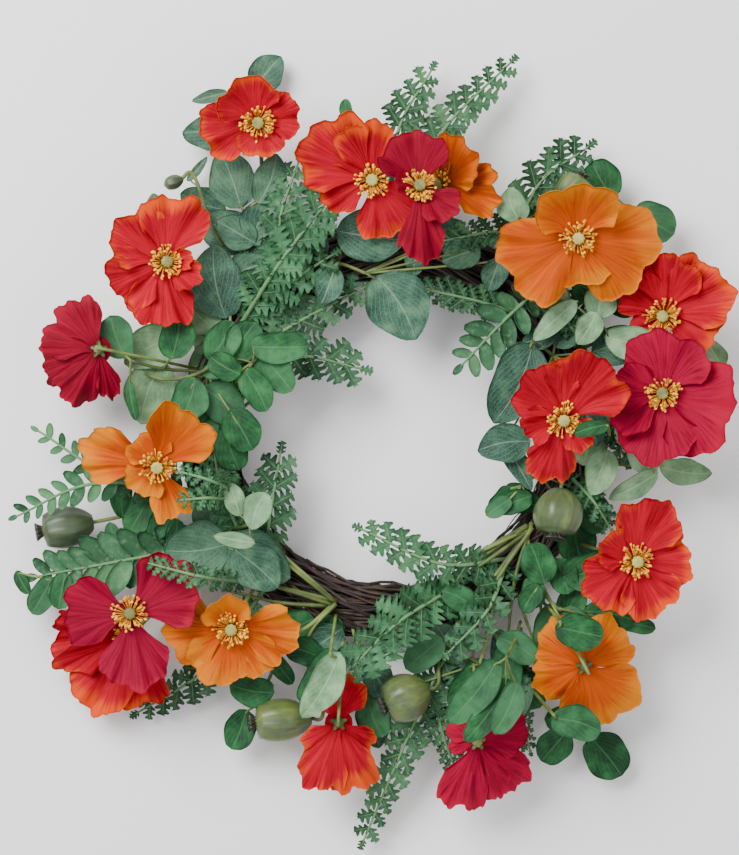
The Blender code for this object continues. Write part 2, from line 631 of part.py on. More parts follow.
def stand_on_origin(objects):
    """Hangs every piece on one empty, placed so that the box's bottom centre is the origin."""
    spots = [vertex.co for obj in objects for vertex in obj.data.vertices]
    lows = [min(spot[axis] for spot in spots) for axis in range(3)]
    highs = [max(spot[axis] for spot in spots) for axis in range(3)]
    wreath = bpy.data.objects.new("wreath", None)
    bpy.context.scene.collection.objects.link(wreath)
    wreath.location = (-(lows[0] + highs[0]) / 2, -(lows[1] + highs[1]) / 2, -lows[2])
    for obj in objects:
        obj.parent = wreath


def main():
    clear_scene()
    dressing = Dressing()
    dressing.add("twig_ring", "twig", [Ring()])
    for flower in POPPIES:
        dressing.add(flower.name, flower.colour, poppy_shapes(flower))
    for pod in PODS:
        dressing.add(pod.name, "pod", pod_shapes(pod))
    for spray in SPRAYS:
        dressing.add(spray.name, spray.kind, spray_shapes(spray))
    for frond in FRONDS:
        dressing.add(frond.name, "fern", frond_shapes(frond))
    stand_on_origin(dressing.objects)


main()
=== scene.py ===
"""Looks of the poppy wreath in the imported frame: crinkled silk petals, pods, foliage and twigs.

Places are millimetres from the ring's centre: X to the right, Y up the wreath, Z at the camera.
"""

from collections import namedtuple
from math import cos, hypot, pi, radians, sin

import bpy
import numpy as np
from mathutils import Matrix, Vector


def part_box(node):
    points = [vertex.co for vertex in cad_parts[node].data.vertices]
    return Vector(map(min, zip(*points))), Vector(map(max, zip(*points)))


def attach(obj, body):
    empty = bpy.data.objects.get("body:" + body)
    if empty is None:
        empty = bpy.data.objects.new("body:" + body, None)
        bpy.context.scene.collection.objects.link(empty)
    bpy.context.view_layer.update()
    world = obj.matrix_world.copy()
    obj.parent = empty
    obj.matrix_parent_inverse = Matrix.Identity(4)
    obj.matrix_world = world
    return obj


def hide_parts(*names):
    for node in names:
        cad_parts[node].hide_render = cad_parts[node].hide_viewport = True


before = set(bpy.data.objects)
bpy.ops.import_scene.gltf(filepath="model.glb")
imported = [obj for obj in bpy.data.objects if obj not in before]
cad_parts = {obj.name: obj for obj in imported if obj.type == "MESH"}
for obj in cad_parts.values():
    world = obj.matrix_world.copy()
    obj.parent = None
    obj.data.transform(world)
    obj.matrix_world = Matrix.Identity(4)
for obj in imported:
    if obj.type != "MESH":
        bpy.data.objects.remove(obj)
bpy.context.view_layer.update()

MM = 0.001

# The ring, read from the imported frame, and how the dressing hangs over its outer edge
RING_LOW, RING_HIGH = (np.array(corner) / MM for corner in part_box("twig_ring"))
RING_CENTRE = (RING_LOW + RING_HIGH) / 2
RING_RADIUS = 139.0
RING_THICK_RADIUS = 24.0
RING_AXIS_HEIGHT = 19.0
OUTER_DROOP = 0.20
LOWEST_DRESSING = 8.0

# Thicknesses and fineness of the visible sheets
PETAL_THICKNESS = 0.45
LEAF_THICKNESS = 0.5
FROND_THICKNESS = 0.5
PETAL_ROWS, PETAL_COLUMNS = 18, 36
LEAF_ROWS, LEAF_COLUMNS = 21, 13
POD_SIDES = 48
LOWEST_POINT = 1.0
# Directions that no stem and no axis runs along, to start the turns of their sides from
BESIDE_PATHS, BESIDE_AXES = (0.31, 0.17, 0.93), (0.31, 0.93, 0.17)

# What counts as 1 for the materials: millimetres of a leaf, and degrees of a petal's spread
LEAF_PATTERN, PETAL_PATTERN = 40, 40

# Petals: how far neighbours overlap, and waves as (size, cycles across) of rim, wrinkles and roll
PETAL_OVERLAP = 1.26
PETAL_LAYER = 0.9
SHARP_FOLDS = 2
RIM_WAVES = (0.045, 1.9), (0.035, 4.1), (0.014, 9.1), (0.006, 17.0)
WRINKLE_WAVES = (0.50, 2.3), (0.20, 5.9), (0.09, 11.3), (0.04, 19.0)
ROLL_WAVES = (0.060, 1.3), (0.055, 2.9), (0.022, 6.1)
# The smoother silks have lower wrinkles than the red and orange ones
CRINKLE = {"petal_crimson": 0.65, "petal_magenta": 0.75}

# Ribs round a body: how many, and their depth as a share of the radius
HEAD_RIBS = 9, 0.08
POD_RIBS = 8, 0.035
CROWN_RIBS = 11, 0.24

# Stems: their radii, and how far behind its flower a stem bends
FLOWER_STEM, BACK_FLOWER_STEM, POD_STEM, SPRAY_STEM = 1.7, 1.2, 1.5, 1.3
FILAMENT = 0.28
STEM_KNEE = 18
BUNDLE_END_HEIGHT = 37
SEPALS, SEPAL_LENGTH, SEPAL_WIDTH = 5, 4.6, 3.0

# Turned bodies as (along the axis, radius), and the cup of a flower's heart as (radius, height)
STAMENS = 72
GOLDEN_SHARE = 0.381966
HEART_CUP = ((0.8, -2.0), (4.5, -1.5), (8.0, -0.8), (10.5, 0.2))
HEAD_PROFILE = [(0.0, 2.4), (2.0, 3.6), (4.2, 4.4), (6.2, 4.6), (7.2, 4.2), (7.6, 3.0), (7.7, 1.0)]
ANTHER_PROFILE = [(-0.3, 0.3), (0.4, 0.9), (1.4, 1.0), (2.3, 0.5)]
CALYX_PROFILE = [(0, 1.4), (1.5, 2.3), (3.4, 3.7), (4.6, 4.0)]
# A pod's crown as shares of the pod's length and width
CROWN_PROFILE = [(0.89, 0.12), (0.92, 0.13), (0.96, 0.16), (1.0, 0.19), (0.99, 0.14), (0.95, 0.05)]
SHORTEST_CROWNED = 20

# Leaves: how much they rise, and the height between one and the next
LEAF_RISE = 6.0
LEAF_STEP = 3.0

# For each lobed kind of leaflet: its half width and depth of cuts as shares, and a lobe's run
LOBED_LEAFLETS = {"blunt": (0.37, 0.66, 6.0), "narrow": (0.27, 0.62, 4.2)}
LEAFLET_SPACING = {"oval": 12.0, "narrow": 7.5, "blunt": 12.5}
# Painted light and shade by frond height: the height where the darker, shaded green begins to
# lighten, and over how much more it does
SHADED_FROND_HEIGHT, FROND_LIGHT_RANGE = 36, 38
# Tones past 1 mark the ribs, veins and crowns for the materials
RIB_TONE = 1.6
VEIN_TONE = 1.3
CROWN_TONE = 1.4

# Twigs of the ring: how many, and the least and greatest arc and thickness of one
TWIGS = 250
TWIG_ARCS = 0.7, 2 * pi * 0.9
TWIG_RADII = 0.5, 1.7


Petal = namedtuple("Petal", "toward length spread rise")
Poppy = namedtuple("Poppy", "name colour x y z lean toward foot petals back")
Pod = namedtuple("Pod", "name x y z length width toward stem_to")
Leaf = namedtuple("Leaf", "x y length width toward")
Spray = namedtuple("Spray", "name kind z stem leaves small_leaves")
Frond = namedtuple("Frond", "name z width spines style", defaults=("blunt",))


def poppy(name, colour, x, y, z, lean, toward, foot, petals, back=False):
    """One poppy: its heart's place, how far its face leans and where to, and the stem's foot."""
    return Poppy(name, "petal_" + colour, x, y, z, lean, toward, foot,
                 [Petal(*petal) for petal in petals], back)


def sprig(name, kind, z, stem, leaves, small_leaves=()):
    """One spray: its kind of leaf, height, stem, large leaves and small ones under them."""
    return Spray(name, "leaf_" + kind, z, stem, [Leaf(*leaf) for leaf in leaves],
                 [Leaf(*leaf) for leaf in small_leaves])


POPPIES = [
    poppy("poppy_right_large", "crimson", 200, 27, 100, 14, 180, (160, 20),
        [(84, 48, 56, 16), (166, 38, 40, 26), (336, 56, 52, 8), (256, 52, 48, 8),
         (208, 44, 34, 18)]),
    poppy("poppy_top_crimson", "crimson", 20, 178, 104, 16, 90, (30, 140),
        [(104, 42, 54, 22), (170, 22, 34, 34), (316, 36, 34, 18), (272, 54, 22, -8)]),
    poppy("poppy_right_inner", "red", 126, 8, 94, 12, 270, (140, -20),
        [(62, 60, 42, 22), (122, 50, 42, 22), (188, 32, 34, 16), (318, 28, 40, 14),
         (256, 52, 26, -10)]),
    poppy("poppy_upper_right_orange", "orange", 137, 142, 98, 10, 270, (152, 112),
        [(96, 50, 60, 32), (208, 60, 42, -2), (342, 60, 48, -4), (272, 38, 64, -6)]),
    poppy("poppy_lower_left_magenta", "magenta", -195, -137, 88, 6, 90, (-130, -75),
        [(176, 50, 38, 10), (32, 58, 40, 17), (276, 56, 34, 4)]),
    poppy("poppy_top_red", "red", -15, 186, 88, 10, 270, (-20, 140),
        [(144, 60, 40, 14), (100, 48, 36, 24), (198, 40, 34, 12), (304, 47, 46, -4)]),
    poppy("poppy_upper_left", "red", -100, 230, 86, 14, 270, (-95, 125),
        [(112, 40, 52, 26), (190, 44, 40, 14), (20, 34, 44, 20), (280, 27, 56, 16)]),
    poppy("poppy_left_high", "red", -169, 125, 84, 18, 0, (-120, 85),
        [(80, 52, 40, 18), (142, 47, 40, 10), (204, 47, 38, 10), (262, 50, 38, 12),
         (322, 32, 36, 34), (12, 24, 36, 44)]),
    poppy("poppy_left_orange", "orange", -174, -27, 86, 10, 270, (-135, -20),
        [(56, 58, 36, 24), (166, 58, 26, 6), (288, 42, 26, 4), (112, 28, 50, 8),
         (222, 26, 52, 4)]),
    poppy("poppy_lower_right", "red", 181, -98, 84, 12, 0, (125, -80),
        [(74, 50, 40, 16), (148, 34, 40, 18), (216, 46, 40, 10), (292, 44, 40, 8),
         (2, 43, 38, 10)]),
    poppy("poppy_lower_left_orange", "orange", -120, -148, 74, 10, 270, (-95, -105),
        [(100, 32, 52, 30), (186, 50, 42, -4), (352, 50, 34, 8), (246, 44, 42, 4),
         (302, 42, 38, 6)]),
    poppy("poppy_upper_right_red", "red", 203, 86, 74, 14, 225, (140, 60),
        [(34, 56, 40, 12), (82, 50, 38, 18), (136, 40, 36, 16), (340, 44, 38, 8),
         (230, 28, 50, 8)]),
    poppy("poppy_bottom_right_orange", "orange", 143, -176, 84, 5, 300, (105, -100),
        [(128, 42, 44, -18), (40, 44, 40, -20), (300, 54, 50, -16), (208, 42, 36, -24)],
        back=True),
    poppy("poppy_bottom_drooping", "red", -40, -219, 76, 10, 90, (-36, -140),
        [(90, 38, 46, -16), (250, 55, 26, -20), (286, 56, 26, -22), (222, 36, 30, -30),
         (318, 36, 30, -30)], back=True),
    poppy("poppy_bottom_crimson", "crimson", 64, -234, 76, 10, 90, (60, -140),
        [(35, 40, 50, -12), (120, 26, 50, -12), (252, 54, 26, -20), (286, 46, 28, -24),
         (318, 50, 28, -22), (180, 22, 30, -20)], back=True),
    poppy("poppy_left_crimson", "crimson", -219, 60, 84, 14, 0, (-140, 45),
        [(118, 44, 30, -18), (158, 44, 32, -24), (200, 45, 32, -24), (242, 46, 28, -18),
         (288, 38, 17, -10)], back=True),
    poppy("poppy_top_orange", "orange", 36, 184, 66, 30, 190, (45, 130),
        [(34, 50, 36, 26), (352, 56, 26, 14), (84, 26, 34, 24), (300, 24, 34, 8)]),
    poppy("poppy_lower_left_red", "red", -197, -156, 52, 30, 232, (-130, -85),
        [(180, 62, 34, 20), (228, 67, 38, 24), (282, 57, 36, 20), (130, 30, 34, 4)]),
]

PODS = [
    Pod("pod_right_inner", 124, -63, 66, 38, 37, 262, (138, -28)),
    Pod("pod_bottom", 9, -201, 66, 38, 37, 200, (45, -150)),
    Pod("pod_bottom_left", -85, -220, 52, 48, 33, 184, (-40, -150)),
    Pod("pod_left", -249, -74, 50, 44, 32, 190, (-130, -50)),
    Pod("bud_upper_left", -165, 187, 64, 15, 11, 200, (-110, 110)),
    Pod("pod_upper_right_lower", 118, 104, 50, 34, 26, 150, (144, 70)),
    Pod("pod_upper_right_top", 137, 181, 56, 32, 26, 60, (100, 120)),
]

SPRAYS = [
    sprig("leaf_spray_inner_top", "mottled", 56, [(-62, 128), (-40, 126), (-20, 118)],
        [(3, 92, 56, 48, 302), (-16, 146, 52, 40, 352), (-48, 108, 30, 22, 250)],
        [(52, 132, 30, 24, 200), (18, 126, 20, 16, 260), (77, 117, 26, 20, 250),
         (40, 148, 34, 22, 30), (-66, 142, 40, 30, 150)]),
    sprig("leaf_spray_inner_right", "mottled", 58, [(140, 30), (122, 56), (105, 66)],
        [(91, 35, 66, 44, 244), (84, -12, 40, 30, 190), (148, 4, 34, 24, 290)],
        [(94, -26, 44, 16, 300), (112, 70, 30, 18, 200), (137, 76, 40, 28, 30),
         (114, 96, 38, 26, 140), (172, 62, 44, 30, 10), (150, 44, 36, 26, 340)]),
    sprig("leaf_spray_inner_lower_right", "round", 50, [(136, -36), (112, -34), (98, -42)],
        [(96, -24, 26, 16, 120), (92, -54, 28, 18, 200), (80, -58, 22, 14, 215)],
        [(83, -53, 24, 20, 230), (98, -51, 30, 20, 330), (150, -60, 40, 28, 300),
         (142, -84, 36, 30, 280)]),
    sprig("leaf_spray_upper_left", "mottled", 48, [(-106, 92), (-114, 130), (-112, 165)],
        [(-130, 112, 56, 42, 100), (-122, 190, 46, 36, 110), (-94, 190, 40, 26, 70),
         (-118, 150, 34, 26, 150)],
        [(-96, 158, 40, 30, 60), (-108, 122, 34, 26, 20), (-128, 150, 44, 34, 150),
         (-92, 140, 40, 28, 100)]),
    sprig("leaf_spray_lower_left", "mottled", 54, [(-96, -100), (-112, -92), (-124, -78)],
        [(-147, -88, 50, 44, 186), (-102, -104, 44, 36, 320)],
        [(-103, -99, 58, 42, 335), (-158, -84, 36, 12, 300), (-134, -60, 40, 30, 100)]),
    sprig("leaf_spray_top_left", "mottled", 40,
        [(-104, 104), (-128, 170), (-122, 226), (-104, 256)],
        [(-95, 274, 32, 27, 50), (-143, 224, 34, 26, 170), (-139, 255, 28, 10, 195),
         (-144, 174, 36, 28, 160)], [(-182, 172, 18, 14, 90), (-149, 200, 24, 7, 50)]),
    sprig("leaf_spray_behind_left", "pale", 40, [(-118, 66), (-140, 72), (-158, 76)],
        [(-182, 60, 46, 34, 205), (-147, 92, 42, 34, 130)],
        [(-182, 28, 50, 38, 250), (-134, 70, 36, 26, 30), (-136, 52, 40, 30, 200),
         (-150, 0, 40, 30, 220)]),
    sprig("eucalyptus_spray_left", "round", 66, [(-122, 22), (-140, 42), (-172, 46), (-196, 52)],
        [(-206, 70, 34, 26, 110), (-162, 70, 34, 27, 80), (-127, 66, 34, 26, 60),
         (-153, 23, 34, 28, 250), (-113, 0, 34, 28, 300)],
        [(-122, 46, 40, 18, 190), (-195, 22, 30, 8, 280), (-128, 20, 36, 30, 320),
         (-146, 6, 36, 28, 230), (-120, -14, 34, 26, 290)]),
    sprig("eucalyptus_spray_left_inner", "round", 76, [(-124, 38), (-112, 44), (-104, 50)],
        [(-84, 62, 44, 24, 0), (-102, 30, 36, 22, 300), (-124, 48, 26, 20, 150)],
        [(-88, 44, 40, 24, 312), (-110, 66, 34, 26, 60)]),
    sprig("eucalyptus_spray_upper_right", "round", 46, [(120, 104), (150, 140), (176, 172)],
        [(161, 191, 32, 30, 120), (199, 158, 36, 31, 330)],
        [(156, 108, 40, 30, 350), (180, 102, 38, 30, 20), (130, 126, 36, 28, 100),
         (112, 160, 38, 28, 120), (176, 132, 36, 28, 60)]),
    sprig("pale_spray_upper_right", "pale", 62, [(140, 62), (150, 66), (158, 78)],
        [(157, 97, 27, 25, 80), (146, 76, 27, 20, 240), (182, 66, 46, 26, 350),
         (122, 82, 44, 17, 222)]),
    sprig("leaf_spray_right", "pale", 54, [(150, -20), (172, -26), (196, -26)],
        [(182, -42, 42, 17, 208), (222, -30, 40, 20, 352), (156, -32, 36, 24, 250),
         (180, 4, 34, 20, 60)],
        [(226, -28, 26, 10, 340), (246, 58, 24, 18, 120), (206, -10, 30, 20, 280),
         (148, -8, 38, 28, 80), (190, -20, 34, 22, 300)]),
    sprig("eucalyptus_spray_lower_right", "round", 60, [(98, -78), (110, -116), (124, -134)],
        [(109, -100, 32, 26, 110), (136, -150, 36, 30, 300), (104, -126, 24, 16, 240),
         (164, -140, 38, 22, 350), (184, -147, 30, 14, 350)],
        [(106, -122, 24, 18, 280), (128, -110, 28, 22, 290), (159, -140, 30, 18, 350),
         (134, -130, 30, 22, 60), (146, -104, 38, 30, 20), (118, -148, 36, 26, 250)]),
    sprig("eucalyptus_spray_bottom_right", "round", 44,
        [(90, -110), (112, -170), (134, -212), (146, -228)],
        [(164, -250, 38, 34, 310), (124, -241, 30, 26, 230), (142, -220, 32, 22, 20)],
        [(139, -221, 44, 24, 0), (104, -196, 36, 26, 300)]),
    sprig("leaf_spray_bottom_left", "round", 48, [(-60, -122), (-84, -168), (-100, -206)],
        [(-116, -228, 32, 24, 250), (-106, -196, 34, 24, 170), (-56, -186, 48, 24, 240),
         (-66, -168, 30, 22, 160)],
        [(-85, -181, 30, 14, 310), (-100, -170, 30, 20, 200), (-78, -150, 40, 28, 200),
         (-48, -158, 36, 26, 260)]),
    sprig("leaf_spray_bottom", "round", 56, [(80, -112), (74, -150), (66, -176)],
        [(58, -192, 46, 22, 235), (72, -208, 48, 22, 240), (94, -164, 34, 22, 330),
         (50, -128, 30, 20, 150)],
        [(41, -122, 26, 16, 200), (59, -132, 30, 12, 290), (-12, -217, 34, 24, 290),
         (73, -213, 40, 24, 240), (24, -168, 36, 24, 220), (88, -180, 38, 22, 280)]),
]

FRONDS = [
    Frond("fern_top_left_long", 72, 44, [[(-118, 75), (-80, 130), (-34, 189)]]),
    Frond("fern_top_left_middle", 64, 36, [[(-106, 88), (-74, 112), (-44, 132)]]),
    Frond("fern_left_dark", 46, 44, [[(-112, 56), (-70, 82), (-20, 108)],
        [(-112, 56), (-66, 56), (-22, 46)]]),
    Frond("fern_upper_left", 60, 36, [[(-84, 118), (-84, 158), (-70, 204)]]),
    Frond("fern_inner_top_right", 46, 32, [[(110, 84), (62, 98), (16, 108)]], "narrow"),
    Frond("fern_oval_inner_right", 56, 40, [[(118, 112), (86, 84), (52, 48)]], "oval"),
    Frond("fern_top", 52, 38, [[(6, 143), (36, 222), (92, 282)], [(6, 150), (4, 222), (31, 276)]]),
    Frond("fern_upper_right", 50, 44, [[(84, 122), (110, 184), (150, 216)]]),
    Frond("fern_top_right_inner", 58, 32, [[(116, 122), (86, 148), (36, 142)]], "narrow"),
    Frond("fern_left_high", 60, 28, [[(-138, -16), (-212, -30), (-270, 0)]], "oval"),
    Frond("fern_left_long", 68, 30, [[(-132, -48), (-222, -40), (-286, -66)]], "oval"),
    Frond("fern_left_low", 58, 50, [[(-120, -84), (-200, -98), (-272, -112)]], "oval"),
    Frond("fern_left_inner", 62, 38, [[(-108, -94), (-128, -44), (-134, -8)]], "narrow"),
    Frond("fern_inner_left_ruffled", 48, 44, [[(-98, -106), (-92, -66), (-84, -16)]]),
    Frond("fern_bottom_bright", 74, 48, [[(62, -112), (6, -142), (-36, -184)]]),
    Frond("fern_inner_bottom", 62, 38, [[(88, -98), (36, -100), (-24, -74)],
        [(88, -98), (72, -134), (42, -168)]]),
    Frond("fern_bottom_long", 52, 38, [[(66, -120), (22, -210), (-22, -316)]]),
    Frond("fern_bottom_left", 36, 38, [[(-96, -120), (-142, -182), (-196, -218)]]),
]

# Small sprays and fronds that belong to the solids beside them: (owner, the spray or frond)
SIDE_SPRAYS = [
    ("poppy_top_red", sprig("leaf_above_top_red", "round", 62,
        [(-26, 196), (-30, 215), (-33, 230)], [(-34, 241, 18, 10, 100)])),
    ("leaf_spray_bottom", sprig("low_leaves_bottom", "mottled", 44,
        [(46, -150), (44, -158), (40, -170)],
        [(42, -162, 34, 24, 300), (52, -186, 40, 24, 320), (92, -200, 40, 26, 282),
         (86, -167, 34, 22, 110)])),
    ("leaf_spray_bottom_left", sprig("low_leaf_bottom_left", "mottled", 40,
        [(-30, -150), (-22, -180), (-18, -200)],
        [(-15, -224, 38, 26, 286), (-52, -160, 36, 24, 215), (-10, -190, 34, 24, 300)])),
    ("leaf_spray_right", sprig("leaf_over_red", "round", 104, [(166, -6), (162, -2), (158, 3)],
        [(146, 1, 27, 12, 195)])),
    ("eucalyptus_spray_lower_right", sprig("leaf_over_orange", "round", 98,
        [(112, -128), (120, -136), (124, -142)], [(138, -149, 36, 27, 348)])),
    ("eucalyptus_spray_bottom_right", sprig("leaf_by_orange", "round", 90,
        [(100, -188), (111, -202), (121, -213)], [(137, -220, 38, 26, 345)])),
    ("leaf_spray_lower_left", sprig("pale_ovals_left", "pale", 80,
        [(-126, -76), (-114, -73), (-106, -70)],
        [(-118, -51, 27, 16, 110), (-99, -60, 29, 22, 250), (-117, -81, 31, 12, 170)])),
    ("fern_left_long", sprig("leaf_clump_left", "round", 47,
        [(-148, -62), (-170, -58), (-196, -54)],
        [(-203, -53, 28, 17, 268), (-190, -63, 34, 24, 240), (-174, -68, 32, 18, 60),
         (-212, -84, 28, 13, 100), (-188, -84, 34, 16, 50), (-164, -82, 30, 16, 80)])),
    ("leaf_spray_bottom_left", sprig("pale_leaf_bottom", "pale", 90,
        [(-42, -138), (-44, -152), (-46, -166)], [(-53, -189, 56, 26, 240)])),
    ("leaf_spray_bottom", sprig("leaves_over_crimson", "round", 98,
        [(98, -146), (92, -158), (84, -168)],
        [(60, -193, 58, 25, 232), (70, -207, 56, 20, 234), (84, -205, 42, 20, 246)])),
    ("pale_spray_upper_right", sprig("pale_round_top", "pale", 88,
        [(102, 140), (97, 150), (94, 157)], [(91, 167, 27, 23, 110)])),
    ("eucalyptus_spray_left", sprig("vine_left", "round", 74,
        [(-201, 50), (-176, 39), (-149, 41), (-126, 53)], [])),
    ("fern_left_low", sprig("leaf_tip_left", "round", 56,
        [(-240, -104), (-256, -108), (-268, -112)],
        [(-281, -116, 20, 10, 300), (-265, -126, 32, 20, 240), (-250, -122, 28, 18, 260)])),
]
SIDE_FRONDS = [
    ("fern_bottom_long", Frond("fern_bottom_branch", 54, 26,
        [[(28, -186), (38, -228), (50, -262)]], "narrow")),
    ("eucalyptus_spray_bottom_right", Frond("fern_dusty_bottom", 48, 26,
        [[(98, -150), (94, -200), (106, -246)]], "narrow")),
    ("fern_left_low", Frond("fern_over_magenta", 98, 24,
        [[(-106, -116), (-140, -108), (-184, -98)]], "narrow")),
    ("fern_left_inner", Frond("fern_over_orange", 95, 25,
        [[(-108, -54), (-132, -38), (-160, -30)],
         [(-108, -54), (-134, -50), (-157, -52)]], "narrow")),
    ("leaf_spray_right", Frond("fern_under_right", 58, 26,
        [[(134, -34), (150, -52), (166, -76)]], "narrow")),
    ("leaf_spray_right", Frond("fern_dark_right", 50, 34,
        [[(148, 44), (166, 8), (186, -26)]], "narrow")),
    ("fern_oval_inner_right", Frond("fern_filler_right", 40, 34,
        [[(120, 80), (150, 100), (196, 116)]])),
    ("pale_spray_upper_right", Frond("fern_between_right", 56, 24,
        [[(146, 64), (134, 78), (122, 94)]], "narrow")),
]

# Bare stems that leave one binding point of the ring: (owners, the binding point, their far ends)
STEM_BUNDLES = [
    (("fern_left_inner", "leaf_spray_lower_left"), (-44, -130),
     [(-125, -122), (-152, -98), (-114, -68), (-92, -158), (-106, -84), (-134, -108),
      (-70, -176)]),
    (("fern_bottom_bright", "fern_inner_bottom"), (104, -74),
     [(47, -101), (28, -128), (-20, -160), (6, -200), (88, -158), (116, -158), (60, -150),
      (36, -112)]),
    (("fern_top_left_long", "fern_left_dark"), (-127, 6),
     [(-116, 78), (-104, 92), (-92, 72), (-122, 110), (-84, 56), (-96, 30)]),
]

DARK_PODS = {"pod_left", "bud_upper_left"}
DARK_POPPIES = {"poppy_top_crimson", "poppy_left_crimson"}

# One source of chance for all pieces, so what is built first changes what follows
chance = np.random.default_rng(7)


def dress_height(x, y, z):
    """Height z, lowered where the dressing hangs past the ring's outer edge."""
    past_edge = max(0.0, hypot(x, y) - RING_RADIUS - RING_THICK_RADIUS)
    return max(z - OUTER_DROOP * past_edge, LOWEST_DRESSING)


def place(x, y, z):
    """A point of the dressing, from the ring's centre."""
    return np.array((x, y, dress_height(x, y, z)))


def direction(degrees_round, rise=0.0):
    """A unit vector, turned from X about the vertical and raised, both in degrees."""
    turn, lift = radians(degrees_round), radians(rise)
    return np.array((cos(turn) * cos(lift), sin(turn) * cos(lift), sin(lift)))


def unit(vector):
    return vector / np.linalg.norm(vector)


def through(points, steps):
    """Points read from a smooth curve through the given ones."""
    points = [np.array(p, float) for p in points]
    ends = [2 * points[0] - points[1], *points, 2 * points[-1] - points[-2]]
    made = []
    for k in range(len(points) - 1):
        a, b, c, d = ends[k:k + 4]
        for step in range(steps):
            t = step / steps
            made.append(0.5 * ((2 * b) + (c - a) * t + (2 * a - 5 * b + 4 * c - d) * t * t
                               + (3 * b - 3 * c + d - a) * t ** 3))
    return np.array(made + [points[-1]])


def turn_about(axis, degrees):
    """3x3 turn about an axis."""
    x, y, z = unit(np.array(axis, float))
    c, s = cos(radians(degrees)), sin(radians(degrees))
    k = np.array([[0, -z, y], [z, 0, -x], [-y, x, 0]])
    return np.eye(3) + s * k + (1 - c) * k @ k


def facing(lean, toward):
    """The turn that leans a flower's face this many degrees from straight up."""
    return turn_about(direction(toward + 90), lean)


class Piece:
    """Points and four-cornered faces of one visible piece, with numbers for its material."""

    def __init__(self):
        self.points, self.faces, self.numbers, self.count = [], [], [], 0

    def add(self, points, faces, along=0.0, across=0.0, tone=0.0, shade=0.0):
        points = np.asarray(points, float).reshape(-1, 3)
        numbers = np.empty((len(points), 4))
        for k, value in enumerate((along, across, tone, shade)):
            numbers[:, k] = np.ravel(value) if np.ndim(value) else value
        self.points.append(points)
        self.numbers.append(numbers)
        self.faces.append(np.asarray(faces) + self.count)
        self.count += len(points)

    def build(self, name, look, slot, *nodes):
        mesh = bpy.data.meshes.new(name)
        points = (np.concatenate(self.points) + (RING_CENTRE[0], RING_CENTRE[1], 0.0)) * MM
        mesh.from_pydata(points.tolist(), [], np.concatenate(self.faces).tolist())
        numbers = np.concatenate(self.numbers)
        for k, title in enumerate(("along", "across", "tone", "shade")):
            layer = mesh.attributes.new(title, "FLOAT", "POINT")
            layer.data.foreach_set("value", np.ascontiguousarray(numbers[:, k], np.float32))
        mesh.materials.append(look)
        made = bpy.data.objects.new(name, mesh)
        bpy.context.scene.collection.objects.link(made)
        mesh.shade_smooth()
        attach(made, "root")
        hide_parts(*nodes)


def grid_faces(rows, columns, closed=False):
    i, j = np.meshgrid(np.arange(rows - 1), np.arange(columns if closed else columns - 1),
                       indexing="ij")
    a = i * columns + j
    b = i * columns + (j + 1) % columns
    return np.stack((a, b, b + columns, a + columns), axis=-1).reshape(-1, 4)


def add_sheet(piece, grid, thickness, **numbers):
    """A thin sheet from a grid of points: both sides and the rim."""
    rows, columns, _ = grid.shape
    down = np.gradient(grid, axis=0)
    side = np.gradient(grid, axis=1)
    normal = np.cross(side, down)
    size = np.linalg.norm(normal, axis=2, keepdims=True)
    normal = normal / np.maximum(size, 1e-9) * thickness / 2
    faces = grid_faces(rows, columns)
    count = rows * columns
    index = np.arange(count).reshape(rows, columns)
    rim = np.concatenate((index[0, :], index[1:, -1], index[-1, -2::-1], index[-2:0:-1, 0]))
    following = np.roll(rim, -1)
    rim_faces = np.stack((following, rim, rim + count, following + count), axis=-1)
    both = {key: np.tile(np.broadcast_to(value, (rows, columns)).ravel(), 2)
            for key, value in numbers.items()}
    piece.add(np.concatenate(((grid - normal).reshape(-1, 3), (grid + normal).reshape(-1, 3))),
              np.concatenate((faces, faces[:, ::-1] + count, rim_faces[:, ::-1])), **both)


def end_cap(first, sides, turned):
    """Four-cornered faces that close a ring of points, which starts at the given one."""
    caps = [(first, first + j, first + j + 1, first + j + 2) for j in range(1, sides - 2, 2)]
    return [cap[::-1] if turned else cap for cap in caps]


def add_rings(piece, rings, turns, tone, shade=0.0):
    """A closed body through rings of points, each at the given turns."""
    rows, sides = len(rings), len(turns)
    faces = np.concatenate((grid_faces(rows, sides, closed=True), end_cap(0, sides, True),
                            end_cap((rows - 1) * sides, sides, False)))
    along = np.repeat(np.linspace(0, 1, rows), sides)
    across = np.tile(turns / (2 * pi), rows)
    piece.add(np.array(rings), faces, along, across, tone, shade)


def add_tube(piece, path, radii, sides=6, tone=0.0):
    """A stem along a path; sides is even."""
    path = np.asarray(path, float)
    radii = np.broadcast_to(radii, len(path))
    step = np.gradient(path, axis=0)
    step /= np.linalg.norm(step, axis=1, keepdims=True)
    side = unit(np.cross(step[0], BESIDE_PATHS))
    turns = 2 * pi * np.arange(sides) / sides
    rings = []
    for k, spot in enumerate(path):
        side = unit(side - step[k] * side.dot(step[k]))
        other = np.cross(step[k], side)
        rings.append(spot + (np.outer(np.cos(turns) * radii[k], side)
                             + np.outer(np.sin(turns) * radii[k], other)))
    add_rings(piece, rings, turns, tone)


